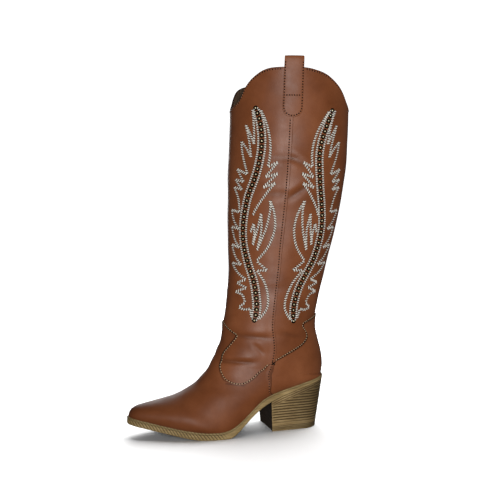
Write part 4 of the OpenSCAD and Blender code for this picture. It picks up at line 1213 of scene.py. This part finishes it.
def slab(shape, x0, x1, grow, low, high, crown=0.0):
    """A thin slab that fills the foot's outline between two heights."""
    cells, cols = 90, 24
    x = mix(x0, x1, (1 - np.cos(np.pi * np.linspace(0, 1, cells + 1))) / 2)[:, None]
    c = np.linspace(-1, 1, cols + 1)[None, :]
    side = side_of(c)
    y = np.abs(c) * side * np.maximum(foot_half(x, grow, side), 0.2)
    x = np.broadcast_to(x, y.shape)
    dome = crown * (1 - np.abs(c) ** 3) * np.minimum(1, np.minimum(x - x0, x1 - x) / 12)
    sheet(shape, np.stack([x, y, high(x) + dome], -1) - ORIGIN,
          np.stack([x, y, low(x)], -1) - ORIGIN)


def footbed():
    """The soft heel pad and the sock over it."""
    pad = Shape()
    slab(pad, 41, HEEL_X - 3.8, -3.8, board_top, lambda x: board_top(x) + pad_lift(x) - 0.3, 0.25)
    soft = pad.make("heel_cushion", ("foam", "foam"), ["heel_pad"])
    sock = Shape()
    slab(sock, TOE_X + 3.5, HEEL_X - 3.4, -3.4, lambda x: board_top(x) + pad_lift(x),
         lambda x: board_top(x) + pad_lift(x) + 1)
    sock.make("sock_leather_liner", ("sock", "sock"), ["sock_liner"], bevel=0.3)


# CAD nodes that are kept as they are, under the finish that each is given
CARRIED = {
    "stiffener": ["toe_puff", "heel_stiffener"], "interlining": ["vamp_interlining"],
    "lining": ["vamp_lining", "counter_lining"], "board": ["insole_board"],
    "cork": ["bottom_filler"],
    "steel": ["shank", "shank_rivets", "heel_screw", "heel_nails", "top_lift_pins"],
}


def finish_carried_nodes():
    """Procedural finishes on the hidden CAD nodes."""
    for finish, nodes in CARRIED.items():
        for node in nodes:
            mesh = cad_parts[node].data
            mesh.materials.clear()
            mesh.materials.append(FINISH[finish])


# ---- studio ----
def backdrop():
    """Pale round floor that curves up into a wall on every side."""
    flat, bend, wall_top, sides = 2.6, 1.2, 4.0, 72
    a = np.linspace(0, math.pi / 2, 17)
    profile = ([(0.4, 0.0)] + [(flat + bend * math.sin(s), bend * (1 - math.cos(s))) for s in a]
               + [(flat + bend, wall_top)])
    turn = np.linspace(0, 2 * math.pi, sides, endpoint=False)
    points = [(r * math.cos(t), r * math.sin(t), z) for r, z in profile for t in turn]
    walls = [face[::-1] for face in between_rings(sides, len(profile))]     # facing inwards
    faces = [tuple(range(sides))] + walls
    mesh = bpy.data.meshes.new("studio_floor")
    mesh.from_pydata(points, [], faces)
    mesh.polygons.foreach_set("use_smooth", [True] * len(faces))
    f = Finish("studio_paper", Roughness=0.9, Specular_IOR_Level=0.1, Emission_Color=(1, 1, 1, 1))
    f.set("Base Color", f.ramp(f.noise(3, 2), [(0.3, (0.86, 0.86, 0.86)), (0.7, (0.88, 0.88, 0.88))]))
    reach = f.nodes.new("ShaderNodeVectorMath")
    reach.operation = "LENGTH"
    f.links.new(f.place, reach.inputs[0])
    f.set("Emission Strength", f.between(reach.outputs["Value"], 0.3, 0.8, 0, 1.1))
    mesh.materials.append(f.material)
    floor = placed("studio_floor", mesh)
    floor.visible_glossy = False
    floor.visible_diffuse = False
    floor.visible_shadow = False
    paper = bpy.data.collections.new("studio_paper")
    paper.objects.link(floor)
    return paper


def softbox(name, place, aim, size, power, only=None):
    """An area light; only, a collection, limits what it lights."""
    light = bpy.data.lights.new(name, "AREA")
    light.shape = "RECTANGLE"
    light.size, light.size_y = size
    light.energy = power
    lamp = placed(name, light)
    lamp.location = place
    lamp.rotation_euler = (Vector(aim) - Vector(place)).to_track_quat("-Z", "Y").to_euler()
    if only is not None:
        lamp.light_linking.receiver_collection = only


def studio():
    """A white bowl lit by a light of its own, a key light before the boot and one behind it."""
    paper = backdrop()
    world = bpy.data.worlds.new("studio_air")
    bpy.context.scene.world = world
    world.use_nodes = True
    world.node_tree.nodes["Background"].inputs["Color"].default_value = (1, 1, 1, 1)
    world.node_tree.nodes["Background"].inputs["Strength"].default_value = 0.065
    softbox("key", (-0.36, -1.6, 0.34), (0, 0, 0.24), (0.5, 1.0), 17.8)
    softbox("back_fill", (0.2, 1.7, 0.7), (0, 0, 0.22), (1.0, 1.4), 12)
    softbox("floor_top", (0.3, 0.45, 1.1), (-0.05, 0, 0), (1.6, 1.6), 41, paper)
    bpy.context.scene.view_settings.view_transform = "Standard"


def camera():
    azimuth, elevation, distance = math.radians(-16), math.radians(2.5), 0.9
    look_at = Vector((0.002, 0.0024, 0.2285))
    back = Vector((math.sin(azimuth) * math.cos(elevation),
                   -math.cos(azimuth) * math.cos(elevation), math.sin(elevation)))
    eye = bpy.data.cameras.new("photo_camera")
    eye.lens, eye.sensor_width = 56.25, 36
    holder = placed("photo_camera", eye)
    holder.location = look_at + back * distance
    holder.rotation_euler = (-back).to_track_quat("-Z", "Y").to_euler()
    bpy.context.scene.camera = holder


SIDES = ((LATERAL, "lateral"), (MEDIAL, "medial"))
shaft_panels()
shaft_linings()
vamp()
heel_counter()
for side, word in SIDES:
    pull_strap(side, word)
    strap_stitches(side, word)
    seams(side, word)
    flames(side, word)
    for half in ("front", "back"):
        studs(side, word, half)
welt()
outsole()
heel()
footbed()
finish_carried_nodes()
studio()
camera()
